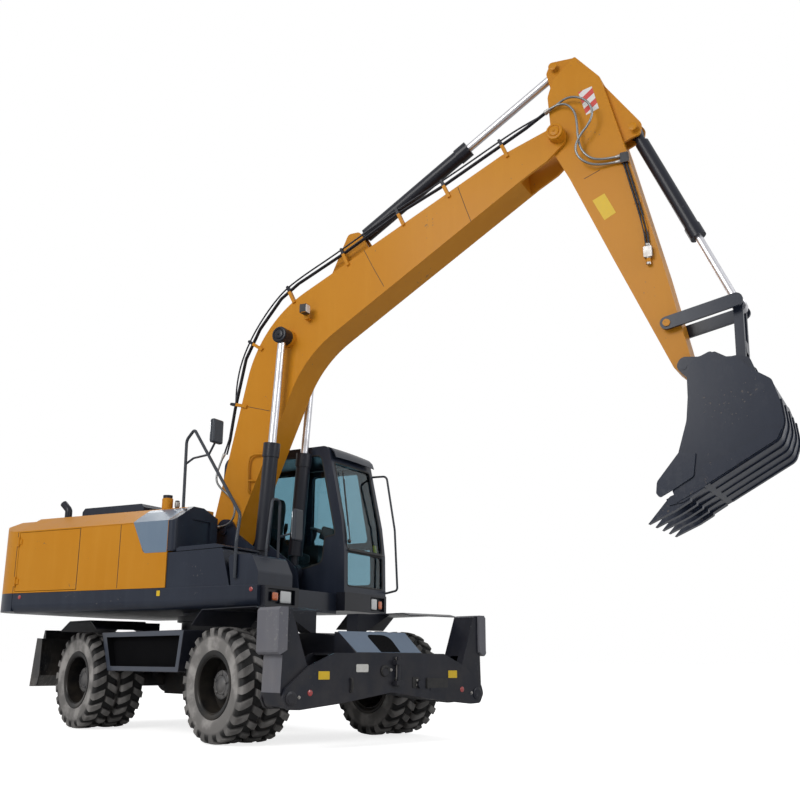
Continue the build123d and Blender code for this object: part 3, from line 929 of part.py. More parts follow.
def hose(points, radius):
    """Tube along a cord's route, each corner rounded as far as its shorter run allows."""
    bends = []
    for i in range(1, len(points) - 1):
        a = Vector(*points[i]) - Vector(*points[i - 1])
        b = Vector(*points[i + 1]) - Vector(*points[i])
        turn = math.radians(a.get_angle(b))
        bends.append(0.45 * min(a.length, b.length) / math.tan(turn / 2))
    return bent_tube(points, bends, radius)


keep("hose_arm_upper", [hose(HOSE_ARM_UPPER, HOSE_RADIUS)], upper=True)
keep("hose_arm_lower", [hose(HOSE_ARM_LOWER, HOSE_RADIUS)], upper=True)
keep("hose_boom_foot", [hose(HOSE_BOOM_FOOT, HOSE_RADIUS)], upper=True)

# Arm
EAR_INNER = ARM_HALF + SIDE_GAP
EAR_OUTER = EAR_INNER + EAR_PLATE
ROCKER_INNER = EAR_OUTER + SIDE_GAP
ROCKER_OUTER = ROCKER_INNER + ROCKER_PLATE
arm_rows = [(4333, 6961, 20), (4595, 6640, 80), (4815, 5766, 300), (5126, 4389, 600), (5325, 3400, 60), (5241, 3310, 70), (5150, 3400, 60), (4640, 4580, 600), (4230, 5550, 300), (4060, 5900, 80), (4020, 6560, 100), (4085, 6745, 60)]
arm = side_prism(arm_rows, FRONT_Y - ARM_HALF, FRONT_Y + ARM_HALF)
for side in (-1, 1):
    y0, y1 = sorted((FRONT_Y + side * CHEEK_INNER, FRONT_Y + side * CHEEK_OUTER))
    arm = arm + side_prism([(4050, 6640), (3995, 6880, 60), (4050, 7005, 50), (4310, 6985, 20), (4360, 6800)], y0, y1)
    arm = arm + side_prism([(4580, 6620), (4980, 6030, 60), (4960, 5910, 50), (4860, 5890, 40), (4760, 5850)], y0, y1)
arm = arm + cross_pin(BUCKET_CYL_FOOT, FRONT_Y - CHEEK_OUTER, FRONT_Y + CHEEK_OUTER, GEAR_PIN_RADIUS)
arm = arm - cross_pin(BOOM_TIP, FRONT_Y - ARM_HALF - 5, FRONT_Y + ARM_HALF + 5, BOOM_PIN_RADIUS + PIN_GAP)
arm = arm - cross_pin(BUCKET_PIN, FRONT_Y - ARM_HALF - 5, FRONT_Y + ARM_HALF + 5, GEAR_PIN_RADIUS + PIN_GAP)
arm = arm + cross_pin(ROCKER_PIN, FRONT_Y - ROCKER_OUTER - 10, FRONT_Y + ROCKER_OUTER + 10, GEAR_PIN_RADIUS)
port_y = FRONT_Y - ARM_HALF
arm = arm + block(4770, 4850, port_y - 48, port_y + 5, 5585, 5695)
arm = arm + block(4945, 5025, port_y - 56, port_y + 5, 4530, 4640)
arm = arm + rod((4985, port_y - 30, 4535), (4985, port_y - 30, 4460), 22)
arm_pipes = []
for i in (0, 1):
    route = [(4796 + 28 * i, 5585 - SEAT), (4822 + 28 * i, 5470), (4956 + 28 * i, 4860), (4968 + 28 * i, 4640 + SEAT)]
    arm_pipes.append(bent_tube([(x, port_y - 18, z) for x, z in route], [80, 80], 8))
clamp = block(4870, 4945, port_y - 9, port_y + 5, 5130, 5160)
keep("arm", [arm + clamp] + arm_pipes, upper=True)
keep("bucket_cylinder_barrel", [barrel(BUCKET_CYL_FOOT, LINK_TOP, FRONT_Y, BUCKET_CYL_RADIUS, 1370, GEAR_PIN_RADIUS, 110, BUCKET_ROD_RADIUS)], upper=True)
keep("bucket_cylinder_rod", [piston_rod(BUCKET_CYL_FOOT, LINK_TOP, FRONT_Y, BUCKET_ROD_RADIUS, 710, GEAR_PIN_RADIUS, 110, 62)], upper=True)
rockers = []
for side in (-1, 1):
    y0, y1 = sorted((FRONT_Y + side * ROCKER_INNER, FRONT_Y + side * ROCKER_OUTER))
    bar = bar_between(ROCKER_PIN, LINK_TOP, 62, 62, y0, y1)
    bar = bar - cross_pin(ROCKER_PIN, y0 - 5, y1 + 5, GEAR_PIN_RADIUS + PIN_GAP)
    y0, y1 = sorted((FRONT_Y + side * (HLINK_OUTER + SIDE_GAP), FRONT_Y + side * ROCKER_OUTER))
    rockers.append(bar + cross_pin(LINK_TOP, y0, y1, GEAR_PIN_RADIUS))
keep("rocker_links", rockers, upper=True)
hlink = block(LINK_TOP[0] - 45, LINK_TOP[0] + 35, FRONT_Y - HLINK_INNER - 5, FRONT_Y + HLINK_INNER + 5, 3490, 3600)
for side in (-1, 1):
    y0, y1 = sorted((FRONT_Y + side * HLINK_INNER, FRONT_Y + side * HLINK_OUTER))
    hlink = hlink + bar_between(LINK_TOP, HLINK_PIN, 42, 42, y0, y1)
    hlink = hlink + cross_pin(LINK_TOP, y0, y1, 52) + cross_pin(HLINK_PIN, y0, y1, 56)
hlink = hlink - cross_pin(HLINK_PIN, FRONT_Y - HLINK_OUTER - 5, FRONT_Y + HLINK_OUTER + 5, GEAR_PIN_RADIUS + PIN_GAP)
keep("h_link", [hlink], upper=True)

# Bucket
side_rows = [(5340, 3190), (5395, 3330, 30), (5555, 3395, 30), (5640, 3330), (5760, 3320, 60), (5870, 3200, 60)]
side_rows += [(6040, 3080, 60), (6090, 2900, 200), (6110, 2700, 200), (6060, 2560, 120), (5440, 2210), (5180, 2080)]
side_rows += [(5150, 2180), (5225, 2525, 100), (5310, 2790, 300), (5335, 3000, 200)]
shell_rows = [(5345, 3200), (5395, 3300, 30), (5560, 3300, 40), (5760, 3240, 100), (5890, 3160, 60)]
shell_rows += [(6040, 3070, 60), (6090, 2900, 200), (6110, 2700, 200), (6060, 2560, 120), (5440, 2210), (5180, 2080)]
shell_rows += [(5170, 2150), (5440, 2275), (6005, 2590, 100), (6070, 2710, 160), (6050, 2880, 160), (5995, 3035, 60)]
shell_rows += [(5860, 3120, 60), (5750, 3195, 60), (5560, 3255, 40), (5370, 3250)]
bh = BUCKET_HALF
bucket = side_prism(shell_rows, FRONT_Y - bh + 1, FRONT_Y + bh - 1)
for side in (-1, 1):
    y0, y1 = sorted((FRONT_Y + side * (bh - BUCKET_SIDE_PLATE), FRONT_Y + side * bh))
    bucket = bucket + side_prism(side_rows, y0, y1)
    y0, y1 = sorted((FRONT_Y + side * EAR_INNER, FRONT_Y + side * EAR_OUTER))
    ears = [(5165, 3400, 70), (5230, 3490, 70), (5380, 3470, 30), (5530, 3500, 30), (5640, 3430, 40), (5740, 3440, 60)]
    ears += [(5830, 3400, 60), (5870, 3280, 60), (5900, 3140), (5560, 3262), (5300, 3262), (5245, 3310, 40)]
    bucket = bucket + side_prism(ears, y0, y1)
bucket = bucket + cross_pin(BUCKET_PIN, FRONT_Y - EAR_OUTER - 4, FRONT_Y + EAR_OUTER + 4, GEAR_PIN_RADIUS)
bucket = bucket + cross_pin(HLINK_PIN, FRONT_Y - EAR_OUTER - 4, FRONT_Y + EAR_OUTER + 4, GEAR_PIN_RADIUS)
for i in range(5):
    y = FRONT_Y + (i - 2) * TOOTH_SPACING
    tooth = side_prism([(5200, 2170), (5120, 2140), (4918, 1912), (5160, 2020), (5290, 2095), (5300, 2150)], y - 38, y + 38)
    bucket = bucket + tooth
    adapter = [(5330, 2230), (5215, 2180), (5090, 2115), (5110, 2060), (5240, 2085), (5420, 2190)]
    bucket = bucket + side_prism(adapter, y - 52, y + 52)
strip = [(5470, 2216), (6066, 2549, 120), (6124, 2702, 200), (6103, 2906), (6075, 2900), (6095, 2700, 180), (6040, 2565, 110), (5460, 2235)]
for y in STRIP_Y:
    bucket = bucket + side_prism(strip, FRONT_Y + y - 30, FRONT_Y + y + 30)
cutter = [(5233, 2519), (5372, 2494), (5340, 2295, 40), (5168, 2196), (5040, 2130, 20), (5012, 2170, 20), (5024, 2270, 60)]
heel = [(5414, 2407), (5492, 2400, 40), (5871, 2576, 60), (5948, 2662, 60), (6085, 2640), (6040, 2555), (5440, 2215)]
for side in (-1, 1):
    y0, y1 = sorted((FRONT_Y + side * (bh - 2), FRONT_Y + side * (bh + CUTTER_PLATE)))
    bucket = bucket + side_prism(cutter, y0, y1) + side_prism(heel, y0, y1)
keep("bucket", [bucket], upper=True)

os.makedirs("parts", exist_ok=True)
for name, solids in nodes.items():
    shape = solids[0] if len(solids) == 1 else Compound(children=solids)
    export_step(shape, f"parts/{name}.step")
print(len(nodes), "nodes")
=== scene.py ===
# %% [markdown]
# # Wheeled excavator
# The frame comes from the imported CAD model: every steel part already stands in its place, in
# metres, on its own body. This lesson gives those parts their paint, rubber, chrome and glass,
# and adds what sheet metal drawings leave out: tread, nuts, seams, hoses, lamps and seals.

# %% Load the frame
import math
import bpy
import bmesh
import numpy as np
from mathutils import Matrix


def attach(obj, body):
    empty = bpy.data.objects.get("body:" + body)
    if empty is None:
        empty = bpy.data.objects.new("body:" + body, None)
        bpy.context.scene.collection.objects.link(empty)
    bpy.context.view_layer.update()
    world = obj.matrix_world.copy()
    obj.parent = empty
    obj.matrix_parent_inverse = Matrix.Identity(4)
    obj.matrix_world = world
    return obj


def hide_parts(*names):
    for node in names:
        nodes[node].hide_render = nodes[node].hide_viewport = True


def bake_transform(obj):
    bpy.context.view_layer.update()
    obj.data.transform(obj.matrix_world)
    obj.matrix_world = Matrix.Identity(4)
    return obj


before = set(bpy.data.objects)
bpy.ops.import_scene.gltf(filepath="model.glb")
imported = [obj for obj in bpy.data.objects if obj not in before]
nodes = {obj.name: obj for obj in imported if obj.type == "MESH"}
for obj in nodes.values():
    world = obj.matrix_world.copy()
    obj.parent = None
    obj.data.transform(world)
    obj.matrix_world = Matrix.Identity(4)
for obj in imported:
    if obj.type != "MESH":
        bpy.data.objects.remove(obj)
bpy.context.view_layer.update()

# %% [markdown]
# ## Camera
# The photographer stood low, a little above wheel height, and looked up along the boom. A long
# lens keeps the wheels round; the slight roll is the photograph's own.

# %% Camera
def unit(rows):
    """Vectors brought to length one."""
    rows = np.asarray(rows, float)
    return rows / np.linalg.norm(rows, axis=-1, keepdims=True)


def stand(name, data, axes, spot):
    """An object in the scene, its own three axes laid along the given ones, at a spot."""
    made = bpy.data.objects.new(name, data)
    made.matrix_world = Matrix([*np.column_stack([*axes, spot]).tolist(), [0, 0, 0, 1]])
    bpy.context.scene.collection.objects.link(made)
    return made


YAW, PITCH, ROLL = (math.radians(a) for a in (137.4233, 14.7178, 0.24987))
EYE_SPOT = (9.7194, -6.3998, 0.7633)
look = np.array([math.cos(YAW) * math.cos(PITCH), math.sin(YAW) * math.cos(PITCH), math.sin(PITCH)])
level = unit(np.cross(look, [0, 0, 1]))
right = math.cos(ROLL) * level + math.sin(ROLL) * np.cross(level, look)
lens = bpy.data.cameras.new("photo_lens")
lens.lens, lens.sensor_width, lens.clip_end = 44.439, 36.0, 400
bpy.context.scene.camera = stand("camera", lens, (right, np.cross(right, look), -look), EYE_SPOT)
print("camera height", EYE_SPOT[2], "m")

# %% [markdown]
# ## Ways to make a mesh
# Nearly all added parts are a grid of points worked out with numpy: a section carried along a
# path, or a profile turned round an axis. One small function joins the grid's points into
# faces, another collects several such shapes into one piece and lets it ride on its body.
# What belongs to the upper structure is drawn facing X and then turned by the slew angle.

# %% Grids and pieces
SLEW = math.radians(19.4)
TURN = np.array([[math.cos(SLEW), math.sin(SLEW), 0], [-math.sin(SLEW), math.cos(SLEW), 0], [0, 0, 1]])
FRONT, LEFT, RIGHT, UP = (1, 0, 0), (0, 1, 0), (0, -1, 0), (0, 0, 1)


def upper(points):
    """Points drawn with the upper structure facing X, turned to its parked slew angle."""
    return np.asarray(points, float) @ TURN


def at_side(rows, y):
    """Rows of (x, z) as points at depth y."""
    x, z = np.asarray(rows, float).T
    return np.column_stack([x, np.full(len(x), y), z])


def around(u, v, sides):
    """Directions all the way round, from u towards v."""
    t = np.arange(sides) * 2 * np.pi / sides
    return np.cos(t)[:, None] * u[..., None, :] + np.sin(t)[:, None] * v[..., None, :]


def net(points, close_rows=False, close_columns=True, caps=True):
    """Vertices and faces of an (n, m, 3) grid; each quad joins four neighbouring points."""
    n, m = points.shape[:2]
    i = np.arange(n if close_rows else n - 1)
    j = np.arange(m if close_columns else m - 1)
    a, b = np.meshgrid(i, j, indexing="ij")
    c, d = (a + 1) % n, (b + 1) % m
    faces = np.stack([a * m + b, c * m + b, c * m + d, a * m + d], -1).reshape(-1, 4).tolist()
    if caps and close_columns and not close_rows:
        faces += [list(range(m)), list(range((n - 1) * m, n * m))]
    return points.reshape(-1, 3), faces


def outward(mesh, join=0.0):
    """Turns all normals outward, after points closer than join are merged."""
    work = bmesh.new()
    work.from_mesh(mesh)
    if join:
        bmesh.ops.remove_doubles(work, verts=work.verts, dist=join)
    bmesh.ops.recalc_face_normals(work, faces=work.faces)
    work.to_mesh(mesh)
    work.free()


def shown(name, mesh, material):
    """A smooth object in the scene with one material."""
    mesh.materials.append(material)
    mesh.shade_smooth()
    made = bpy.data.objects.new(name, mesh)
    bpy.context.scene.collection.objects.link(made)
    return made


def piece(name, shapes, body, material, smooth=35, height=None):
    """One object from several shapes, with edges above an angle kept sharp, riding on a body."""
    faces, start = [], 0
    for points, loops in shapes:
        faces += [[start + k for k in loop] for loop in loops]
        start += len(points)
    mesh = bpy.data.meshes.new(name)
    mesh.from_pydata(np.concatenate([points for points, _ in shapes]).tolist(), [], faces)
    if height is not None:
        mesh.attributes.new("height", "FLOAT", "POINT").data.foreach_set("value", np.concatenate(height))
    outward(mesh, 1e-6)
    made = shown(name, mesh, material)
    mesh.set_sharp_from_angle(angle=math.radians(smooth))
    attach(made, body)
    print(name, len(mesh.vertices), "points on", body)
    return made


def turned(profile, centre, axis, sides=32, hollow=False, turn=False):
    """Profile rows (along the axis, radius) turned round it: centre + a*w + r*(u cos t + v sin t).

    A hollow one is a ring: its profile is a closed loop beside the axis, so it has no end caps."""
    if turn:
        centre, axis = upper(centre), upper(axis)
    w = unit(axis)
    u = unit(np.cross(w, [0, 0, 1] if abs(w[2]) < 0.9 else [1, 0, 0]))
    a, r = np.asarray(profile, float).T
    ring = around(u, np.cross(w, u), sides)
    grid = np.asarray(centre) + a[:, None, None] * w + r[:, None, None] * ring
    return net(grid, close_rows=hollow, caps=not hollow)


def smooth_path(points, rounds=3):
    """Corners cut by quarters, round after round, with both ends kept (Chaikin's rule)."""
    path = np.asarray(points, float)
    for _ in range(rounds):
        near = 0.75 * path[:-1] + 0.25 * path[1:]
        far = 0.25 * path[:-1] + 0.75 * path[1:]
        path = np.concatenate([path[:1], np.stack([near, far], 1).reshape(-1, 3), path[-1:]])
    return path


def tube(path, radius, sides=12):
    """A round section carried along a path, square to its direction at every point."""
    path = np.asarray(path, float)
    way = unit(np.gradient(path, axis=0))
    guide = np.eye(3)[np.argmin(np.abs(way).max(0) + 1e-3 * np.abs(path[-1] - path[0]))]
    u = unit(np.cross(way, guide))
    size = np.broadcast_to(np.asarray(radius, float), (len(path),))
    return net(path[:, None] + size[:, None, None] * around(u, np.cross(way, u), sides))


def slab(outline, height, lip, place):
    """A plate with chamfered rims: the outline, shrunk by lip at bottom and top, lifted by place."""
    flat = np.asarray(outline, float)
    away = flat - flat.mean(0)
    shrink = 1 - lip / np.maximum(np.linalg.norm(away, axis=1), 1e-6)[:, None]
    inner = flat.mean(0) + away * shrink
    levels = [(inner, 0), (flat, lip), (flat, height - lip), (inner, height)]
    return net(place(np.stack([np.column_stack([ring, np.full(len(ring), z)]) for ring, z in levels])))


def rounded(width, depth, corner=0.01, steps=4):
    """Outline of a rectangle round the origin, with round corners."""
    t = np.linspace(0, np.pi / 2, steps)
    spots = []
    for k, (sx, sy) in enumerate(((1, 1), (-1, 1), (-1, -1), (1, -1))):
        a = t + k * np.pi / 2
        spots.append(np.column_stack([sx * (width / 2 - corner) + corner * np.cos(a),
                                      sy * (depth / 2 - corner) + corner * np.sin(a)]))
    return np.concatenate(spots)


def facing(centre, normal, across=LEFT, turn=False):
    """Lifts flat points so that their x runs along across, and their z along normal, from centre."""
    w = unit(normal)
    u = np.asarray(across, float)
    u = unit(u - (u @ w) * w)
    v = np.cross(w, u)
    lift = lambda p: np.asarray(centre) + p[..., :1] * u + p[..., 1:2] * v + p[..., 2:] * w
    return (lambda p: upper(lift(p))) if turn else lift


def plate(centre, normal, size, corner=0.006, thick=0.0025, lip=0.0008, across=LEFT, turn=False, steps=4):
    """A plate with round corners on a face, its width along across."""
    return slab(rounded(*size, corner, steps), thick, lip, facing(centre, normal, across, turn))


def disc(centre, normal, radius, thick=0.006, turn=False):
    """A low dome, such as a round reflector."""
    dome = np.array([(0, 1), (0.5, 1), (0.9, 0.8), (1, 0.4), (1.02, 0.05)]) * (thick, radius)
    return turned(dome, centre, normal, 28, turn=turn)


def nuts(spots, axis, radius, height):
    """Hexagon heads, or round ones if large, with a small crown and a washer, one at each spot."""
    head = np.array([(0, 1.35), (0.12, 1.35), (0.14, 1), (0.85, 1), (1, 0.82), (1, 0.45), (1.25, 0.42)])
    return [turned(head * (height, radius), spot, axis, 6 if radius < 0.02 else 12) for spot in spots]


print("helpers ready; slew", round(math.degrees(SLEW), 1), "degrees")

# %% [markdown]
# ## Shared effects
# Paint on a working machine is never one colour. The sun fades it in broad patches, dust
# settles on what faces up and on what is near the ground, and corners lose their gloss. Three
# node groups hold these effects, so every finish can mix in its own share of them.

# %% Ways to make nodes
def feed(tree, node, values):
    """Inputs of a node joined to other sockets or set to plain values."""
    for key, value in values.items():
        if isinstance(value, bpy.types.NodeSocket):
            tree.links.new(value, node.inputs[key])
        else:
            node.inputs[key].default_value = value


def add(tree, kind, values=(), **settings):
    """A node with its settings and its inputs."""
    node = tree.nodes.new(kind)
    for key, value in settings.items():
        setattr(node, key, value)
    feed(tree, node, dict(values))
    return node


def place_in(tree):
    """Where the point lies in its object."""
    return add(tree, "ShaderNodeTexCoord").outputs["Object"]


def upward(tree, vector):
    """The vertical share of a vector."""
    return add(tree, "ShaderNodeSeparateXYZ", {0: vector}).outputs["Z"]


def noise(tree, place, scale, detail=4.0, stretch=None):
    """Noise on object coordinates, stretched along an axis where the pattern has a grain."""
    if stretch:
        place = add(tree, "ShaderNodeMapping", {"Vector": place, "Scale": stretch}).outputs[0]
    return add(tree, "ShaderNodeTexNoise", {"Vector": place, "Scale": scale, "Detail": detail}).outputs["Fac"]


def wave(tree, place, scale, way, distortion=0.0):
    """Regular stripes across a direction."""
    values = {"Vector": place, "Scale": scale, "Distortion": distortion}
    return add(tree, "ShaderNodeTexWave", values, bands_direction=way).outputs["Fac"]


def remap(tree, value, low, high, to_low=0.0, to_high=1.0):
    """A smooth step of value between low and high."""
    values = {"Value": value, "From Min": low, "From Max": high, "To Min": to_low, "To Max": to_high}
    return add(tree, "ShaderNodeMapRange", values, interpolation_type="SMOOTHSTEP").outputs["Result"]


def maths(tree, kind, first, *others):
    """Values joined one after the other by the same operation."""
    for other in others:
        first = add(tree, "ShaderNodeMath", {0: first, 1: other}, operation=kind).outputs[0]
    return first


def times(tree, *values):
    """The product of the values."""
    return maths(tree, "MULTIPLY", *values)


def plus(tree, *values):
    """The sum of the values."""
    return maths(tree, "ADD", *values)


def blended(tree, share, a, b):
    """Colour a where share is zero, b where it is one."""
    return add(tree, "ShaderNodeMix", {0: share, 6: a, 7: b}, data_type="RGBA").outputs[2]


def bump(tree, strength, distance, height):
    """A normal that leans with the slope of a height."""
    return add(tree, "ShaderNodeBump", {"Strength": strength, "Distance": distance,
                                        "Height": height}).outputs[0]


def new_group(name, inputs, outputs):
    """An empty shader group with named sockets: its tree, what comes in, and its end."""
    tree = bpy.data.node_groups.new(name, "ShaderNodeTree")
    for label, kind, value in inputs:
        tree.interface.new_socket(label, in_out="INPUT", socket_type=kind).default_value = value
    for label, kind in outputs:
        tree.interface.new_socket(label, in_out="OUTPUT", socket_type=kind)
    return tree, tree.nodes.new("NodeGroupInput").outputs, tree.nodes.new("NodeGroupOutput")


print("node helpers ready")

# %% Node groups
COLOUR, VALUE, VECTOR = "NodeSocketColor", "NodeSocketFloat", "NodeSocketVector"


def weathered_paint():
    """Colour = paint faded in patches, chipped in specks, dusted where low or facing up."""
    tree, given, out = new_group("weathered_paint", [
        ("Paint", COLOUR, (0.5, 0.5, 0.5, 1)), ("Faded", COLOUR, (0.6, 0.6, 0.6, 1)),
        ("Under", COLOUR, (0.10, 0.09, 0.08, 1)), ("Dust", COLOUR, (0.33, 0.27, 0.20, 1)),
        ("Dust top", VALUE, 1.2), ("Dusty", VALUE, 0.3), ("Chipped", VALUE, 0.2), ("Smooth", VALUE, 0.35)],
        [("Color", COLOUR), ("Roughness", VALUE), ("Normal", VECTOR)])
    place = place_in(tree)
    up = upward(tree, add(tree, "ShaderNodeNewGeometry").outputs["Normal"])
    patches = remap(tree, noise(tree, place, 0.9, 5), 0.35, 0.70)
    runs = remap(tree, noise(tree, place, 2.2, 6, (3.5, 3.5, 0.35)), 0.45, 0.75)
    fade = times(tree, plus(tree, patches, runs), 0.5)
    colour = blended(tree, fade, given["Paint"], given["Faded"])
    specks = plus(tree, noise(tree, place, 38.0, 8), times(tree, noise(tree, place, 2.8, 5), 0.6))
    limit = maths(tree, "SUBTRACT", 0.80, times(tree, given["Chipped"], 0.22))
    chip = remap(tree, times(tree, specks, 0.78), limit, plus(tree, limit, 0.03))
    colour = blended(tree, chip, colour, given["Under"])
    low = remap(tree, upward(tree, place), given["Dust top"], 0.0)
    cloud = remap(tree, noise(tree, place, 5.0, 8), 0.30, 0.72)
    settled = times(tree, remap(tree, up, 0.5, 1.0), 0.55)
    dust = times(tree, maths(tree, "MAXIMUM", low, settled), cloud, given["Dusty"])
    gloss = plus(tree, given["Smooth"], times(tree, fade, 0.14))
    rough = maths(tree, "MAXIMUM", gloss, times(tree, maths(tree, "MAXIMUM", dust, chip), 0.8))
    relief = maths(tree, "SUBTRACT", times(tree, noise(tree, place, 160.0, 2), 0.25), times(tree, chip, 0.6))
    feed(tree, out, {"Color": blended(tree, dust, colour, given["Dust"]), "Roughness": rough,
                     "Normal": bump(tree, 0.10, 0.002, relief)})
    return tree


def scraped_steel():
    """Mask of bright scrape marks: noise drawn out along the digging direction, stronger lower down."""
    tree, given, out = new_group("scraped_steel", [
        ("Below", VALUE, 2.5), ("Above", VALUE, 3.2), ("Amount", VALUE, 0.5)], [("Mask", VALUE)])
    place = place_in(tree)
    zone = remap(tree, upward(tree, place), given["Above"], given["Below"])
    lines = remap(tree, noise(tree, place, 9.0, 9, (1.0, 5.0, 1.4)), 0.52, 0.60)
    patch = remap(tree, noise(tree, place, 2.4, 6), 0.40, 0.62)
    feed(tree, out, {"Mask": times(tree, lines, plus(tree, zone, times(tree, patch, 0.35)), given["Amount"])})
    return tree


def grime():
    """Mask and normal for rubber and castings: dusty clouds over a fine grain."""
    tree, given, out = new_group("grime", [("Scale", VALUE, 6.0), ("Grain", VALUE, 220.0)],
                                 [("Mask", VALUE), ("Normal", VECTOR)])
    place = place_in(tree)
    feed(tree, out, {"Mask": remap(tree, noise(tree, place, given["Scale"], 8.0), 0.34, 0.70),
                     "Normal": bump(tree, 0.35, 0.003, noise(tree, place, given["Grain"], 3.0))})
    return tree


PAINT_GROUP, SCRAPE_GROUP, GRIME_GROUP = weathered_paint(), scraped_steel(), grime()
print("groups", [g.name for g in bpy.data.node_groups])

# %% [markdown]
# ## Finishes
# Each finish keeps its own shader. Paint is a coloured coat with a clear gloss over it; chrome
# rods are metal under a thin film of oil; tyres are rough rubber with pale dust on what wears.

# %% Paints
def shader(name, colour=(0.5, 0.5, 0.5), rough=0.5, metal=0.0, **sockets):
    """A material with its Principled shader's plain values set on the shader's own sockets."""
    material = bpy.data.materials.new(name)
    material.use_nodes = True
    tree = material.node_tree
    body = tree.nodes["Principled BSDF"]
    feed(tree, body, {"Base Color": (*colour, 1), "Roughness": rough, "Metallic": metal})
    feed(tree, body, {key.replace("_", " "): value for key, value in sockets.items()})
    return material, tree, body


def painted(name, paint, faded, dust_top, dusty, chipped, smooth, under=(0.10, 0.09, 0.08), coat=0.35,
            scrape=None, shine=0.25):
    """Weathered paint; scrape = (below, above, amount) adds bare steel where soil rubs."""
    material, tree, body = shader(name, Coat_Weight=coat, Coat_Roughness=0.18, Specular_IOR_Level=shine)
    film = add(tree, "ShaderNodeGroup", {
        "Paint": (*paint, 1), "Faded": (*faded, 1), "Under": (*under, 1), "Dust top": dust_top,
        "Dusty": dusty, "Chipped": chipped, "Smooth": smooth}, node_tree=PAINT_GROUP)
    colour = film.outputs["Color"]
    if scrape:
        values = dict(zip(("Below", "Above", "Amount"), scrape))
        marks = add(tree, "ShaderNodeGroup", values, node_tree=SCRAPE_GROUP).outputs["Mask"]
        colour = blended(tree, marks, colour, (0.30, 0.29, 0.28, 1))
        feed(tree, body, {"Metallic": marks})
    feed(tree, body, {"Base Color": colour, "Roughness": film.outputs["Roughness"],
                      "Normal": film.outputs["Normal"]})
    return material


# Paint, faded paint, height of the dust, dust, chips, roughness, layer under it, clear coat.
amber = painted("amber_paint", (0.585, 0.235, 0.012), (0.62, 0.265, 0.022), 1.5, 0.05, 0.01, 0.40,
                (0.30, 0.16, 0.06), 0.10, shine=0.14)
navy = painted("navy_paint", (0.016, 0.022, 0.039), (0.026, 0.034, 0.054), 1.6, 0.08, 0.0, 0.30,
               (0.08, 0.08, 0.09), 0.16)
slate = painted("slate_paint", (0.150, 0.215, 0.300), (0.175, 0.240, 0.325), 1.5, 0.05, 0.0, 0.36)
black = painted("chassis_black", (0.010, 0.012, 0.020), (0.017, 0.019, 0.029), 1.3, 0.08, 0.0, 0.32,
                (0.05, 0.05, 0.06), 0.14)
rim_black = painted("rim_black", (0.006, 0.006, 0.007), (0.010, 0.010, 0.011), 1.2, 0.12, 0.0, 0.34,
                    (0.03, 0.03, 0.03), 0.10)
tray_grey = painted("tray_grey", (0.125, 0.127, 0.150), (0.165, 0.168, 0.190), 1.4, 0.15, 0.10, 0.42,
                    (0.20, 0.20, 0.21), 0.2)
bucket_navy = painted("bucket_navy", (0.012, 0.018, 0.036), (0.021, 0.028, 0.048), 1.8, 0.1, 0.02, 0.34,
                      (0.10, 0.09, 0.09), 0.12, (1.95, 2.45, 0.07))
blade_black = painted("blade_black", (0.011, 0.012, 0.015), (0.024, 0.024, 0.027), 1.4, 0.2, 0.08, 0.38,
                      (0.08, 0.07, 0.07), 0.3, (0.40, 0.60, 0.25))
box_blue = painted("box_blue", (0.040, 0.052, 0.080), (0.060, 0.072, 0.100), 1.3, 0.05, 0.0, 0.30,
                   (0.08, 0.08, 0.09), 0.4)
cover_blue = painted("cover_blue", (0.060, 0.110, 0.190), (0.085, 0.145, 0.235), 1.3, 0.06, 0.0, 0.30,
                     (0.06, 0.06, 0.07), 0.5)
rail_grey = painted("rail_grey", (0.028, 0.034, 0.046), (0.042, 0.050, 0.064), 1.3, 0.0, 0.0, 0.40,
                    (0.06, 0.06, 0.07), 0.3)
print(len(bpy.data.materials), "paints")


# %% Rubber, castings and plastics
def grimy(name, colour, dust, share, rough, grain, scale, metal=0.0, **sockets):
    """Rubber, plastic or cast iron with dusty clouds."""
    material, tree, body = shader(name, colour, rough, metal, **sockets)
    film = add(tree, "ShaderNodeGroup", {"Scale": scale, "Grain": grain}, node_tree=GRIME_GROUP)
    mask = times(tree, film.outputs["Mask"], share)
    feed(tree, body, {"Base Color": blended(tree, mask, (*colour, 1), (*dust, 1)),
                      "Roughness": remap(tree, mask, 0.0, 1.0, rough, min(1.0, rough + 0.2)),
                      "Normal": film.outputs["Normal"]})
    return material


# Colour, dust, share of dust, roughness, fineness of the grain, fineness of the clouds, metal.
GRIMY = {
    "tooth_steel": ((0.085, 0.085, 0.092), (0.19, 0.16, 0.13), 0.5, 0.42, 90.0, 9.0, 0.75),
    # Black rubber for the seals, also used for the thin lines of painted shade along seams.
    "rubber_and_seam_shade": ((0.010, 0.010, 0.011), (0.045, 0.042, 0.040), 0.3, 0.62, 400.0, 20.0),
    "hub_grey": ((0.105, 0.105, 0.110), (0.22, 0.21, 0.20), 0.5, 0.45, 140.0, 12.0, 0.55),
    "cast_iron": ((0.045, 0.045, 0.047), (0.12, 0.10, 0.085), 0.5, 0.62, 120.0, 8.0, 0.3),
    "cab_plastic": ((0.018, 0.018, 0.020), (0.050, 0.048, 0.046), 0.25, 0.50, 600.0, 12.0),
    "bare_steel": ((0.42, 0.41, 0.40), (0.22, 0.19, 0.16), 0.35, 0.38, 300.0, 14.0, 0.9),
    "label_yellow": ((0.76, 0.50, 0.010), (0.60, 0.42, 0.06), 0.15, 0.42, 500.0, 30.0),
    "label_white": ((0.66, 0.66, 0.64), (0.48, 0.45, 0.40), 0.3, 0.45, 500.0, 30.0),
}
tooth_steel, rubber_and_seam_shade, hub_grey, cast_iron, plastic, steel, label_yellow, label_white = (
    grimy(name, *row) for name, row in GRIMY.items())
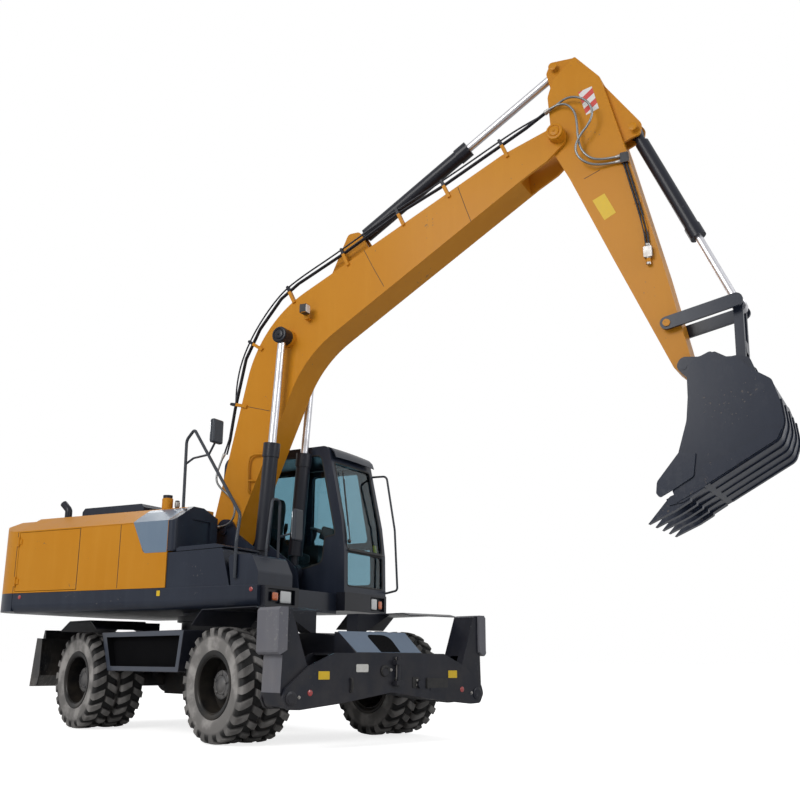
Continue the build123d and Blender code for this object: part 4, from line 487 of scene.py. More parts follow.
# Near-black for the sheets of painted shade in openings and recesses.
shade_black = grimy("shade_black", (0.0025, 0.0026, 0.0035), (0.006, 0.006, 0.007), 0.4, 0.9, 220.0, 6.0,
                   Specular_IOR_Level=0.08)
print(len(GRIMY) + 1, "grimy finishes")


# %% Chrome, glass, lenses, tyre rubber, braid and stripes
def chrome_material():
    """Hard chrome: bright metal under a thin oil film, which dulls it in patches."""
    material, tree, body = shader("rod_chrome", (0.74, 0.73, 0.76), 0.32, 1.0)
    film = noise(tree, place_in(tree), 7.0, 6)
    dull = remap(tree, film, 0.45, 0.8)
    feed(tree, body, {"Roughness": remap(tree, film, 0.35, 0.75, 0.30, 0.40),
                      "Base Color": blended(tree, dull, (0.70, 0.70, 0.74, 1), (0.58, 0.57, 0.59, 1))})
    return material


def glass_material(name, tint, rough=0.01):
    """Tinted safety glass with a faint haze of dust in its roughness."""
    material, tree, body = shader(name, tint, rough, 0.0, Transmission_Weight=1.0, IOR=1.30)
    feed(tree, body, {"Roughness": remap(tree, noise(tree, place_in(tree), 3.0, 7), 0.50, 0.85, rough, 0.10)})
    return material


def lens_material(name, colour):
    """Moulded lamp plastic with fine prisms behind a clear gloss."""
    material, tree, body = shader(name, colour, 0.12, 0.0, Coat_Weight=0.8, Coat_Roughness=0.04)
    ribs = wave(tree, place_in(tree), 42.0, "Z")
    bright = tuple(min(1.0, value * 1.5 + 0.04) for value in colour)
    feed(tree, body, {"Base Color": blended(tree, ribs, (*colour, 1), (*bright, 1)),
                      "Normal": bump(tree, 0.25, 0.002, ribs)})
    return material


def tyre_material():
    """Rubber by the height of each point: black in the grooves as painted shade, pale with dry dust on tops and
    side walls.
    """
    material, tree, body = shader("tyre_rubber", (0.03, 0.03, 0.03), 0.86)
    film = add(tree, "ShaderNodeGroup", {"Scale": 5.0, "Grain": 260.0}, node_tree=GRIME_GROUP)
    rise = add(tree, "ShaderNodeAttribute", attribute_name="height").outputs["Fac"]
    dust_and_groove_shade = times(tree, rise, remap(tree, film.outputs["Mask"], 0.0, 1.0, 0.45, 1.0))
    # Black in the grooves is painted shade; the pale tops and side walls are dry dust.
    feed(tree, body, {
        "Base Color": blended(tree, dust_and_groove_shade, (0.006, 0.006, 0.0065, 1), (0.41, 0.395, 0.385, 1)),
        "Roughness": remap(tree, dust_and_groove_shade, 0.0, 1.0, 0.70, 0.95), "Normal": film.outputs["Normal"]})
    return material


def braid_material():
    """Steel braid: two families of wires cross at a slant; U runs along the hose in metres, V once round."""
    material, tree, body = shader("braided_hose", (0.30, 0.30, 0.31), 0.36, 0.85)
    uv = add(tree, "ShaderNodeUVMap", uv_map="along").outputs[0]
    wires = []
    for slant in (-1.0, 1.0):
        slanted = add(tree, "ShaderNodeMapping", {"Vector": uv, "Scale": (26.0, 3.0 * slant, 1.0)}).outputs[0]
        wires.append(wave(tree, slanted, 1.0, "DIAGONAL"))
    weave = maths(tree, "MAXIMUM", *wires)
    soot = times(tree, remap(tree, noise(tree, place_in(tree), 9.0, 6), 0.4, 0.75), 0.35)
    metal = blended(tree, weave, (0.05, 0.055, 0.06, 1), (0.33, 0.35, 0.36, 1))
    feed(tree, body, {"Base Color": blended(tree, soot, metal, (0.12, 0.11, 0.10, 1)),
                      "Normal": bump(tree, 0.4, 0.001, weave)})
    return material


def marker_material():
    """Red and white reflective stripes at a slant."""
    material, tree, body = shader("striped_marker", (0.7, 0.7, 0.7), 0.35, 0.0, Coat_Weight=0.5)
    place = place_in(tree)
    lean = (0.0, math.radians(38.0), 0.0)
    slanted = add(tree, "ShaderNodeMapping", {"Vector": place, "Rotation": lean}).outputs[0]
    share = remap(tree, wave(tree, slanted, 2.7, "Z"), 0.47, 0.53)
    feed(tree, body, {"Base Color": blended(tree, share, (0.62, 0.03, 0.02, 1), (0.78, 0.78, 0.77, 1)),
                      "Roughness": remap(tree, noise(tree, place, 14.0, 5), 0.3, 0.8, 0.25, 0.55)})
    return material


tyre_rubber, braid, marker, chrome = tyre_material(), braid_material(), marker_material(), chrome_material()
window = glass_material("window_glass", (0.34, 0.50, 0.56))
clear_lens = lens_material("clear_lens", (0.62, 0.64, 0.66))
amber_lens = lens_material("amber_lens", (0.70, 0.13, 0.012))
red_lens = lens_material("red_lens", (0.30, 0.012, 0.012))
mirror_glass = shader("mirror_glass", (0.72, 0.75, 0.78), 0.04, 1.0)[0]
print(len(bpy.data.materials), "materials")

# %% [markdown]
# ## Dressing the CAD nodes
# Every steel part whose shape is already right keeps its mesh and only gets its finish here.

# %% Finishes of the CAD nodes
SIDES = {"right": -1, "left": 1}


def both(name):
    """The names of a part's right and left copy."""
    return [name + "_" + side for side in SIDES]


DRESS = {
    amber: ["boom", "arm", "hood", *both("service_door"), "counterweight"],
    navy: ["platform", "side_decks", "hood_cap", "toolbox", "toolbox_lid", "cab_shell", "cab_base",
           "cab_door",
           "engine_lid", "rocker_links", "h_link"],
    bucket_navy: ["bucket"],
    black: ["chassis_frame", "fenders_and_boxes", "stabilizer_beam", "boom_cylinder_barrels",
            "arm_cylinder_barrel", "bucket_cylinder_barrel", *both("leg_cylinder_barrel"),
            "blade_cylinder_barrels", "boom_pipes", "front_lamps", *both("leg"), *both("knuckle"),
            "hood_fittings"],
    blade_black: ["blade"],
    rim_black: both("rims_front") + both("rims_rear"),
    rail_grey: ["handrails"],
    cast_iron: ["engine_block", "axles", "tie_rod"],
    chrome: ["boom_cylinder_rods", "arm_cylinder_rod", "bucket_cylinder_rod", *both("leg_cylinder_rod"),
             "blade_cylinder_rods"],
    window: ["cab_glass", "door_glass"],
    plastic: ["cab_controls"],
}
for material, names in DRESS.items():
    for name in names:
        nodes[name].data.materials.clear()
        nodes[name].data.materials.append(material)
print(sum(len(names) for names in DRESS.values()), "nodes dressed")

# %% [markdown]
# ## Tyres
# A deep tread for mixed ground: broad paddles start near the middle, sweep back towards each
# shoulder and end in a block on the side wall. The two halves stand half a pitch apart. The
# rows of the grid follow the paddles' own slanted edges, so the edges stay crisp with few
# points, and an attribute keeps the height of each point for the rubber's colour: painted
# shade in the grooves, dust on the tops.

# %% Lugged tyres
AXLE_Z, TWIN_Y, TWIN_GAP = 0.527, 0.950, 0.320
AXLE_X = {"front": 1.545, "rear": -1.295}
WHEELS = {end + "_" + hand: (x, side) for end, x in AXLE_X.items() for hand, side in SIDES.items()}
PADDLES, PADDLE_HEIGHT = 22, 0.0225
HALF_WIDTH, WIDEST = 0.1375, 0.1395
TYRE_HALF = [(0.100, 0.2625), (0.112, 0.272), (0.114, 0.290), (0.120, 0.305), (0.131, 0.340),
             (0.1365, 0.375), (HALF_WIDTH, 0.405), (0.136, 0.425), (0.1345, 0.440), (0.1335, 0.447),
             (0.130, 0.470), (0.123, 0.488), (0.115, 0.4955), (0.100, 0.500), (0.080, 0.5025),
             (0.055, 0.504), *((offset, 0.5045) for offset in (0.034, 0.026, 0.019, 0.012, 0.006))]


def step(value, low, high):
    """Smooth step from 0 at low to 1 at high."""
    t = np.clip((value - low) / (high - low), 0, 1)
    return t * t * (3 - 2 * t)


def paddle_rows(wide, count, shift):
    """Angle, in pitches, and lift of each grid row: groove, flank, top, flank, again and again."""
    flank, foot = 0.045, 0.085
    edges = np.stack([-0.5 + 0 * wide, -wide - foot, -wide - flank, -wide, -wide * 0.45,
                      0 * wide, wide * 0.45, wide, wide + flank, wide + foot])
    lift = np.array([0, 0, 0, 1, 1, 1, 1, 1, 0, 0.0])
    row = np.arange(count * 10) + shift
    return row[:, None] // 10 + edges[row % 10] - shift / 10, lift[row % 10]


def tyre_grid(x, y, turn):
    """Point = axle + offset*Y + radius*(cos t, sin t), with radius and offset raised by the paddles."""
    outline = np.array(TYRE_HALF)
    offset, radius = np.concatenate([outline * (-1, 1), outline[::-1]]).T
    half = np.sign(offset)
    across = np.clip(np.abs(offset) / HALF_WIDTH, 0, 1)
    wide = 0.195 + 0.045 * step(across, 0.1, 0.5) - 0.05 * step(across, 0.90, 1.0)
    near, near_lift = paddle_rows(wide, PADDLES, 0)
    far, far_lift = paddle_rows(wide, PADDLES, 5)
    t = (np.where(half < 0, near, far) + 0.50 * (1 - across) + turn) * 2 * np.pi / PADDLES
    lift = np.where(half < 0, near_lift[:, None], far_lift[:, None])
    lift = lift * step(radius, 0.438, 0.449) * step(np.abs(offset), 0.007, 0.020)
    share = np.where(radius > 0.486, 1.0, np.where(radius > 0.44, 0.55, 0.0))
    r = radius + lift * PADDLE_HEIGHT * share
    a = np.clip(offset + lift * half * np.where(radius > 0.497, 0.0, 0.009), -WIDEST, WIDEST)
    spots = np.stack([x + r * np.cos(t), y + a, AXLE_Z + r * np.sin(t)], -1)
    rise = np.maximum(0.66 * lift, 1 - step(radius, 0.430, 0.455))
    return net(spots, close_rows=True, caps=False), rise.ravel()


for name, (x, side) in WHEELS.items():
    grids, rises = zip(*(tyre_grid(x, side * TWIN_Y + k * TWIN_GAP / 2, 0.31 * k) for k in (-1, 1)))
    tread = piece("treads_" + name, grids, "wheel_" + name, tyre_rubber, 38, rises)
    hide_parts("tyres_" + name)

# %% [markdown]
# ## Wheel fastenings
# Each pair of rims is held by a ring of nuts round the hub, and the hub's cover by small
# screws. A valve stem sticks out beside them, and a rounded flange holds each tyre's bead.

# %% Nuts and valves
NUT_CIRCLE, COVER_NUTS, COVER_SCREWS = 0.170, 0.092, 0.118
angles = np.arange(10) * 2 * np.pi / 10 + 0.2
RING = np.stack([np.cos(angles), np.zeros(10), np.sin(angles)], -1)
VALVE = [(0.215, 0.10), (0.222, 0.15), (0.226, 0.20)]
for name, (x, side) in WHEELS.items():
    middle = np.array([x, side * TWIN_Y, AXLE_Z])
    shapes = nuts(middle + RING * NUT_CIRCLE + [0, side * 0.022, 0], (0, side, 0), 0.016, 0.022)
    valve = [middle + [ahead, side * out, 0.02] for ahead, out in VALVE]
    shapes.append(tube(smooth_path(valve, 2), 0.006, 8))
    piece("wheel_nuts_" + name, shapes, "wheel_" + name, steel)

# %% Rim flanges and hub covers
FLANGE = [(0.104, 0.258), (0.116, 0.262), (0.1235, 0.272), (0.1265, 0.288), (0.1275, 0.302), (0.1265, 0.311),
          (0.1235, 0.313), (0.118, 0.306)]
HUB = [(0.120, 0.128), (0.176, 0.134), (0.184, 0.130), (0.1885, 0.122), (0.1895, 0.100), (0.1905, 0.070),
       (0.197, 0.060), (0.203, 0.044), (0.2045, 0.030), (0.2045, 0.006)]
for name, (x, side) in WHEELS.items():
    middle = np.array([x, side * TWIN_Y, AXLE_Z])
    rings = [turned(FLANGE, middle + [0, k * TWIN_GAP / 2, 0], (0, face, 0), 72, True)
             for k in (-1, 1) for face in (-1, 1)]
    piece("flanges_" + name, rings, "wheel_" + name, rim_black, 50)
    shapes = [turned(HUB, middle, (0, side, 0), 48)]
    shapes += nuts(middle + RING[::2] * COVER_NUTS + [0, side * 0.189, 0], (0, side, 0), 0.0125, 0.012)
    shapes += nuts(middle + RING * COVER_SCREWS + [0, side * 0.1885, 0], (0, side, 0), 0.006, 0.006)
    piece("hub_cover_" + name, shapes, "wheel_" + name, hub_grey, 30)

# %% [markdown]
# ## The driver's place
# Seen through the glass: a sprung seat with a bolstered cushion and backrest, a steering wheel
# on its column, two levers on the consoles and a small display. The cushions are soft pieces,
# crowned in the middle and pulled in at their welts.

# %% Seat cushions
CROWN, WAIST = 0.06, 0.03


def cushion(size, turn, spot):
    """A superellipse pillow: it swells by CROWN towards the middle, and its sides pull in by WAIST."""
    u = np.linspace(-np.pi / 2, np.pi / 2, 25)[:, None]
    v = np.linspace(-np.pi, np.pi, 48, endpoint=False)[None, :]
    power = lambda w, e: np.sign(w) * np.abs(w) ** e
    x = power(np.cos(u), 0.30) * power(np.cos(v), 0.38)
    y = power(np.cos(u), 0.30) * power(np.sin(v), 0.38)
    z = power(np.sin(u), 0.45) * np.ones_like(v)
    dome = 1 + CROWN * (1 - np.clip(np.abs(x), 0, 1) ** 2) * (1 - np.clip(np.abs(y), 0, 1) ** 2)
    channel = 1 - 0.10 * np.exp(-((np.abs(y) - 0.62) / 0.06) ** 2) * (z > 0.2)
    pull = 1 - WAIST * (1 - np.abs(z)) * (np.abs(x * y) < 0.5)
    local = np.stack([x * size[0] / 2 * pull, y * size[1] / 2 * pull, z * size[2] / 2 * dome * channel], -1)
    c, s = math.cos(turn), math.sin(turn)
    local = local @ np.array([[c, 0, s], [0, 1, 0], [-s, 0, c]]).T
    return net(upper(local + np.asarray(spot)), caps=False)


def cloth_material():
    """Woven seat cloth: crossing waves for the yarns, dust on top, soft sheen."""
    material, tree, body = shader("seat_cloth", (0.030, 0.031, 0.034), 0.88, 0.0, Sheen_Weight=0.35,
                                  Sheen_Roughness=0.5)
    place = place_in(tree)
    weave = times(tree, *(wave(tree, place, 150.0, way, 0.6) for way in "XY"))
    share = times(tree, weave, noise(tree, place, 6.0, 5))
    feed(tree, body, {"Base Color": blended(tree, share, (0.020, 0.021, 0.024, 1), (0.085, 0.085, 0.090, 1)),
                      "Normal": bump(tree, 0.35, 0.001, weave)})
    return material


seat_cloth = cloth_material()
seat = [cushion((0.47, 0.45, 0.122), 0.0, (0.135, 0.795, 1.9455))]
back = [cushion((0.68, 0.43, 0.105), math.radians(-83.5), (-0.105, 0.795, 2.365))]
base_pad = piece("seat_pad", seat, "upper", seat_cloth, 60)
back_pad = piece("seat_back", back, "upper", seat_cloth, 60)
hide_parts("seat_cushions")

# %% Steering wheel, levers and display
HOOP_RADIUS, HOOP_GRIP = 0.185, 0.014
t = np.linspace(0, 2 * np.pi, 48, endpoint=False)
lean = np.array([[0.94, 0, -0.34], [0, 1, 0], [0.34, 0, 0.94]])
hub_spot = np.array([0.690, 0.794, 2.225])
hoop = hub_spot + np.stack([HOOP_RADIUS * np.cos(t), HOOP_RADIUS * np.sin(t), 0 * t], -1) @ lean
normal = unit(np.cross(hoop[0] - hub_spot, hoop[12] - hub_spot))
rimring = hoop[:, None] + HOOP_GRIP * around(unit(hoop - hub_spot), normal, 12)
shapes = [net(upper(rimring), close_rows=True, caps=False)]
for spoke in hoop[::16]:
    shapes.append(tube(upper([hub_spot, (hub_spot + spoke) / 2, spoke]), [0.018, 0.013, 0.010], 10))
shapes.append(turned([(-0.03, 0.030), (0.0, 0.045), (0.018, 0.040), (0.024, 0.015)], hub_spot, normal, 24,
                     turn=True))
GRIP = [(0.300, 2.120), (0.310, 2.185), (0.318, 2.215), (0.328, 2.270), (0.335, 2.320)]
shapes += [tube(upper(at_side(GRIP, y)), [0.030, 0.010, 0.020, 0.026, 0.018], 14) for y in (0.475, 1.115)]
shapes.append(plate((0.930, 0.470, 2.16), (-0.80, 0.25, 0.30), (0.20, 0.15), 0.02, 0.035, 0.006, turn=True))
shapes.append(tube(upper([(0.950, 0.440, 2.10), (0.975, 0.425, 1.95), (0.985, 0.420, 1.80)]), 0.014, 10))
piece("cab_fittings", shapes, "upper", plastic)

# %% [markdown]
# ## Hydraulic hoses
# Three braided hoses hang between parts that move: one loops from the platform to the boom's
# pipes, two from the end of the pipes to the arm. Each follows a smooth spline through its
# route. The braid's two families of wires need to know how far along and how far round the
# hose a point lies, so the tube carries its own UV map.

# %% Hoses
HOSE, HOSE_SIDES = 0.012, 20
HOSES = {
    "hose_arm_upper": ("boom", "arm", [
        (3.9973, -0.296, 6.3582), (4.112, -0.298, 6.421), (4.246, -0.345, 6.455), (4.378, -0.392, 6.405),
        (4.492, -0.404, 6.315), (4.545, -0.404, 6.180), (4.492, -0.402, 6.052), (4.392, -0.398, 5.955),
        (4.325, -0.392, 5.832), (4.366, -0.380, 5.702), (4.480, -0.350, 5.622), (4.626, -0.304, 5.612),
        (4.7697, -0.304, 5.612)]),
    "hose_arm_lower": ("boom", "arm", [
        (3.9973, -0.322, 6.3582), (4.116, -0.326, 6.416), (4.256, -0.352, 6.380), (4.342, -0.366, 6.252),
        (4.358, -0.366, 6.100), (4.356, -0.362, 5.950), (4.386, -0.354, 5.800), (4.480, -0.338, 5.690),
        (4.626, -0.304, 5.668), (4.7697, -0.304, 5.668)]),
    "hose_boom_foot": ("upper", "boom", [
        (-0.0197, -0.398, 2.195), (0.128, -0.398, 2.195), (0.233, -0.402, 2.298), (0.237, -0.409, 2.445),
        (0.136, -0.410, 2.555), (0.020, -0.402, 2.634), (-0.080, -0.380, 2.742), (-0.056, -0.361, 2.9006),
        (-0.0001, -0.342, 3.0477)])}


def spline_points(route):
    """The points of a smooth third-order spline whose control points are the route's."""
    curve = bpy.data.curves.new("route", "CURVE")
    curve.dimensions, curve.resolution_u = "3D", 10
    spline = curve.splines.new("NURBS")
    spline.points.add(len(route) - 1)
    spline.points.foreach_set("co", np.column_stack([route, np.ones(len(route))]).ravel())
    spline.order_u = 3
    spline.use_endpoint_u = True
    holder = bpy.data.objects.new("route", curve)
    mesh = bpy.data.meshes.new_from_object(holder)
    points = np.array([tuple(v.co) for v in mesh.vertices])
    bpy.data.objects.remove(holder)
    return points


def wound(mesh, path, sides):
    """A UV map for a tube on a path: U is metres along it, V goes from 0 to 1 round it."""
    along = np.concatenate([[0], np.cumsum(np.linalg.norm(np.diff(path, axis=0), axis=1))])
    corner = np.empty(len(mesh.loops), int)
    mesh.loops.foreach_get("vertex_index", corner)
    ring, round_it = corner // sides, (corner % sides) / sides
    first = np.array([p.loop_start for p in mesh.polygons])
    total = np.array([p.loop_total for p in mesh.polygons])
    span = np.maximum.reduceat(round_it, first)
    wraps = np.repeat((span > 1 - 1.5 / sides) & (total == 4), total) & (round_it < 0.5 / sides)
    uv = mesh.uv_layers.new(name="along")
    uv.data.foreach_set("uv", np.column_stack([along[ring], round_it + wraps]).ravel())


for name, (near, far, route) in HOSES.items():
    line = spline_points(upper(route))
    points, faces = tube(line, HOSE, HOSE_SIDES)
    mesh = bpy.data.meshes.new(name + "_braid")
    mesh.from_pydata(points.tolist(), [], faces)
    wound(mesh, line, HOSE_SIDES)
    outward(mesh)
    hose = shown(name + "_braid", mesh, braid)
    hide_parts(name)
    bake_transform(hose)

# %% Hose ends
FERRULE = [(-0.004, 0.0150), (0.004, 0.0190), (0.022, 0.0190), (0.024, 0.0165), (0.050, 0.0160),
           (0.054, 0.0130)]
HOSE_ENDS = {"boom": [("hose_arm_upper", 0, 1), ("hose_arm_lower", 0, 1), ("hose_boom_foot", -1, -2)],
             "arm": [("hose_arm_upper", -1, -2), ("hose_arm_lower", -1, -2)],
             "upper": [("hose_boom_foot", 0, 1)]}
for body, ends in HOSE_ENDS.items():
    shapes = []
    for name, end, inward in ends:
        route = np.array(HOSES[name][2])
        shapes.append(turned(FERRULE, route[end], route[inward] - route[end], 18, turn=True))
    piece("hose_ends_" + body, shapes, body, steel)

# %% [markdown]
# ## Paint panels, labels and reflectors
# Thin skins lie a millimetre or two over the steel: the slate panel on the hood, bare yellow
# plates, reflectors, and the striped marker on the arm. All are left without words. A skin is a
# grid between two outlines, so that it can follow the hood's crease.

# %% Slate panel on the hood
HALF, CREASE, HOOD_TOP, TOP_HALF = 1.253, 2.172, 2.350, 0.950
SKIN = 0.0012


def hood_side(z, lift):
    """Distance from the middle of the hood's side at height z, lifted outwards."""
    slant = HALF - (HALF - TOP_HALF) * (z - CREASE) / (HOOD_TOP - CREASE)
    return np.where(z <= CREASE, HALF, slant) + lift


def hood_skin(left, right, levels):
    """A closed skin on the hood's right side, from x = left(z) to x = right."""
    s = np.linspace(0, 1, 12)[:, None]
    z = levels + 0 * s
    x = left * (1 - s) + right * s
    near, far = (np.stack([x, -hood_side(z, lift), z], -1) for lift in (SKIN, 2 * SKIN))
    return net(upper(np.concatenate([near, far[:, ::-1]], 1)))


levels = np.array([1.838, 1.842, 1.86, 1.90, 1.97, 2.05, 2.12, 2.160, CREASE, 2.19, 2.24, 2.30, 2.338])
left = np.interp(levels, [1.838, 1.845, 1.862, 1.90, CREASE, 2.24, 2.338],
                 [-0.262, -0.285, -0.300, -0.318, -0.454, -0.480, -0.487])
piece("slate_panel", [hood_skin(left, 0.026, levels)], "upper", slate)
sleeve = [(0, 0.055), (0.004, 0.060), (0.118, 0.060), (0.124, 0.055)]
piece("filler_sleeve", [turned(sleeve, (-0.330, -0.880, 2.352), UP, 28, turn=True)], "upper", amber)
breather = [(0.02, 0.026), (0.03, 0.029), (0.07, 0.029), (0.076, 0.024), (0.092, 0.014), (0.096, 0.004)]
piece("breather_sleeve", [turned(breather, (-0.190, -0.880, 2.352), UP, 20, turn=True)], "upper", steel)

# %% Plates and reflectors
FACE, DECK_FACE = 2.6602, -1.2532
yellow = [plate((FACE, y, 0.625), FRONT, (width, 0.070)) for y, width in ((-0.804, 0.124), (0.804, 0.122))]
piece("beam_labels", yellow, "chassis", label_yellow)
piece("beam_plate", [plate((FACE, -0.363, 0.685), FRONT, (0.144, 0.070), 0.012)], "chassis", label_white)
piece("beam_reflectors", [disc((FACE, y, 0.480), FRONT, 0.026) for y in (-0.953, 0.935)], "chassis", red_lens)
deck_spots = [disc((x, DECK_FACE, 1.425), RIGHT, 0.022, turn=True) for x in (-2.08, 1.13)]
piece("deck_reflectors", deck_spots, "upper", red_lens)
tag = plate((-0.05, DECK_FACE, 1.415), RIGHT, (0.045, 0.055), across=FRONT, turn=True)
piece("deck_tag", [tag], "upper", label_yellow)


# %% Marker and label on the arm
def side_skin(corners, y, thick=0.002):
    """A flat skin on a side face at y, cut to four corners given as (x, z)."""
    a, b, c, d = at_side(corners, y)
    s, t = np.meshgrid(np.linspace(0, 1, 5), np.linspace(0, 1, 5), indexing="ij")
    s, t = s[..., None], t[..., None]
    face = (a * (1 - s) + b * s) * (1 - t) + (d * (1 - s) + c * s) * t
    return net(upper(np.concatenate([face, (face - [0, thick, 0])[:, ::-1]], 1)))


ARM_FACE, BOOM_FACE = -0.2742, -0.3142
MARKER = [(4.358, 6.525), (4.506, 6.552), (4.569, 6.279), (4.432, 6.237)]
LABEL = [(4.454, 5.262), (4.580, 5.313), (4.687, 5.080), (4.566, 5.022)]
piece("arm_marker", [side_skin(MARKER, ARM_FACE)], "arm", marker)
piece("arm_label", [side_skin(LABEL, ARM_FACE)], "arm", label_yellow)

# %% [markdown]
# ## Lamps and mirrors
# Each front corner carries an orange indicator and a clear head lamp in a black recess. The
# lenses are crowned blocks with round corners, each in a thin bezel.

# %% Lenses
LAMP_X, BEZEL = 1.2502, 0.012
LAMPS = {  # each lens from y to y and from z to z
    "indicator_lenses": (amber_lens, [(-1.070, -0.960, 1.320, 1.410), (1.090, 1.180, 1.330, 1.430)]),
    "head_lamp_lenses": (clear_lens, [(-0.930, -0.730, 1.300, 1.430), (0.920, 1.060, 1.318, 1.450)])}


def crowned(centre, width, depth, crown, corner):
    """A lens: round-cornered outlines shrink towards the middle while they rise, as a low pillow."""
    flat = rounded(width, depth, corner, 5)
    rings = []
    for share in (1.0, 0.99, 0.94, 0.82, 0.6, 0.3, 0.04):
        rise = crown * math.sqrt(max(0.0, 1 - share ** 4)) + (0.003 if share < 1 else 0)
        rings.append(np.column_stack([flat * share, np.full(len(flat), rise)]))
    return net(facing(centre, FRONT, turn=True)(np.stack(rings)))


for name, (finish, lamps) in LAMPS.items():
    shapes = [crowned((LAMP_X, (y0 + y1) / 2, (z0 + z1) / 2), y1 - y0 - BEZEL, z1 - z0 - BEZEL, 0.007, 0.018)
              for y0, y1, z0, z1 in lamps]
    piece(name, shapes, "upper", finish, 50)
boom_lens = crowned((1.157, -0.442, 4.600), 0.088, 0.092, 0.006, 0.012)
piece("boom_lamp_lens", [boom_lens], "boom", clear_lens, 50)
boom_case = plate((1.0775, -0.442, 4.600), FRONT, (0.104, 0.108), 0.014, 0.082, 0.006, turn=True)
piece("boom_lamp_case", [boom_case], "boom", plastic)

# %% Mirrors
MIRRORS = [((0.4495, -1.100, 3.110), (0.145, 0.235)), ((1.2145, -0.640, 2.120), (0.125, 0.300))]
glasses = [plate(spot, (-1, 0, 0), size, 0.022, 0.0035, 0.001, turn=True, steps=6) for spot, size in MIRRORS]
piece("mirror_glasses", glasses, "upper", mirror_glass)

# %% [markdown]
# ## The cab's trim
# Black rubber closes every pane against its frame. A wiper lies parked along the edge of the
# upper windscreen, and a visor shades its top.

# %% Seals round the panes
def round_corners(rows, steps=5):
    """Corner points, in millimetres, replaced by quadratic arcs of the radius given with each row."""
    made = []
    for k, (x, z, radius) in enumerate(rows):
        here = np.array([x, z]) / 1000
        arms = (np.array(rows[other][:2]) / 1000 - here for other in (k - 1, (k + 1) % len(rows)))
        a, b = (here + unit(arm) * radius / 1000 for arm in arms)
        t = np.linspace(0, 1, steps)[:, None]
        made.append(a * (1 - t) ** 2 + here * 2 * t * (1 - t) + b * t ** 2)
    return np.concatenate(made)


def seal(line, radius=0.009):
    """A flat rubber bead along a closed line."""
    ahead = unit(np.roll(line, -1, 0) - np.roll(line, 1, 0))
    out = unit(np.cross(ahead, line.mean(0) - line))
    ring = line[:, None] + radius * around(out * 0.7, np.cross(ahead, out) * 1.3, 10)
    return net(ring, close_rows=True, caps=False)


def side_seal(rows, y):
    """The seal of a pane in the cab's side at y."""
    return seal(upper(at_side(round_corners(rows), y)))


def front_x(z):
    """How far forward the cab's curved front stands at height z."""
    return np.interp(z, [1.487, 1.95, 2.10, 2.30, 2.50, 3.10, 3.18],
                     [1.250, 1.2385, 1.230, 1.196, 1.150, 1.022, 1.000])


CAB_NEAR, CAB_FAR, SINK = 0.316, 1.272, 0.004
RIGHT_WINDOW = [(-420, 1760, 60), (700, 1760, 60), (945, 1822, 60), (978, 2112, 40), (1118, 2130, 40),
                (905, 3072, 70), (-420, 3072, 90)]
LEFT_WINDOW = [(-440, 1900, 60), (20, 1900, 60), (20, 3060, 60), (-440, 3060, 60)]
DOOR_WINDOWS = [[(200, 2130, 50), (1020, 2130, 50), (985, 2300, 50), (850, 3010, 50), (200, 3010, 50)],
                [(200, 1620, 50), (1060, 1620, 50), (1050, 2060, 50), (200, 2060, 50)]]
WINDSCREENS = [[(386, low, 40), (1202, low, 40), (1202, high, 40), (386, high, 40)]
               for low, high in ((1560, 1944), (1976, 2990))]
cab_seals = [side_seal(RIGHT_WINDOW, CAB_NEAR + SINK), side_seal(LEFT_WINDOW, CAB_FAR - SINK)]
piece("cab_seals", cab_seals, "upper", rubber_and_seam_shade)
piece("door_seals", [side_seal(rows, CAB_FAR - SINK) for rows in DOOR_WINDOWS], "cab_door", rubber_and_seam_shade)
front = []
for rows in WINDSCREENS:
    line = round_corners(rows)
    fine = np.concatenate([np.linspace(a, b, 9)[:-1] if np.linalg.norm(b - a) > 0.15 else a[None]
                           for a, b in zip(line, np.roll(line, -1, 0))])
    front.append(seal(upper(np.column_stack([front_x(fine[:, 1]) - SINK, fine]))))
piece("windscreen_seals", front, "upper", rubber_and_seam_shade)

# %% Wiper, visor and front bar
wiper = np.array([(0, 0.415, 2.06), (0, 0.425, 2.30), (0, 0.470, 2.60), (0, 0.500, 2.80)])
wiper[:, 0] = front_x(wiper[:, 2]) + 0.022
z = np.linspace(2.24, 2.90, 8)
blade = np.column_stack([front_x(z) + 0.010, np.interp(z, [2.24, 2.90], [0.425, 0.520]), z])
shapes = [tube(upper(wiper), 0.007, 10), tube(upper(blade), 0.006, 8),
          turned([(0, 0.024), (0.018, 0.024), (0.026, 0.015)], (1.236, 0.415, 2.06), (1, 0, 0.15), 18,
                 turn=True)]
piece("wiper", shapes, "upper", plastic)
VISOR = np.array([(0.970, 3.172), (1.020, 3.152), (1.066, 3.105), (1.090, 3.040), (1.084, 3.038),
                  (1.058, 3.098), (1.014, 3.142), (0.968, 3.164)])
visor = []
for y in np.linspace(CAB_NEAR + 0.03, CAB_FAR - 0.03, 15):
    crown = 0.010 * (1 - ((y - (CAB_NEAR + CAB_FAR) / 2) / 0.45) ** 2)
    visor.append(at_side(VISOR + (0, crown), y))
piece("visor", [net(upper(np.stack(visor)))], "upper", navy, 40)
bar = [(front_x(1.96) + 0.012, y, 1.962) for y in np.linspace(CAB_NEAR + 0.075, CAB_FAR - 0.075, 9)]
piece("front_bar", [tube(upper(bar), 0.010)], "upper", plastic)
pane_tag = plate((1.200, 1.080, 2.035), (1, 0, 0.12), (0.085, 0.085), turn=True)
piece("cab_tag", [pane_tag], "upper", label_yellow)

# %% [markdown]
# ## Pins, seams and rails of the working gear
# Every pivot ends in a cap: a ring, a recess and a small grease nipple. The welded seams that
# cross the boom get thin black lines of painted shade, and a bent amber rail stands on its side.
# A third, thinner pipe runs above the two that the boom carries.

# %% Pin caps
MID = -0.124  # the working gear's middle, in Y
HEAD, HEAD_REACH = (0.828, 4.322), 0.326


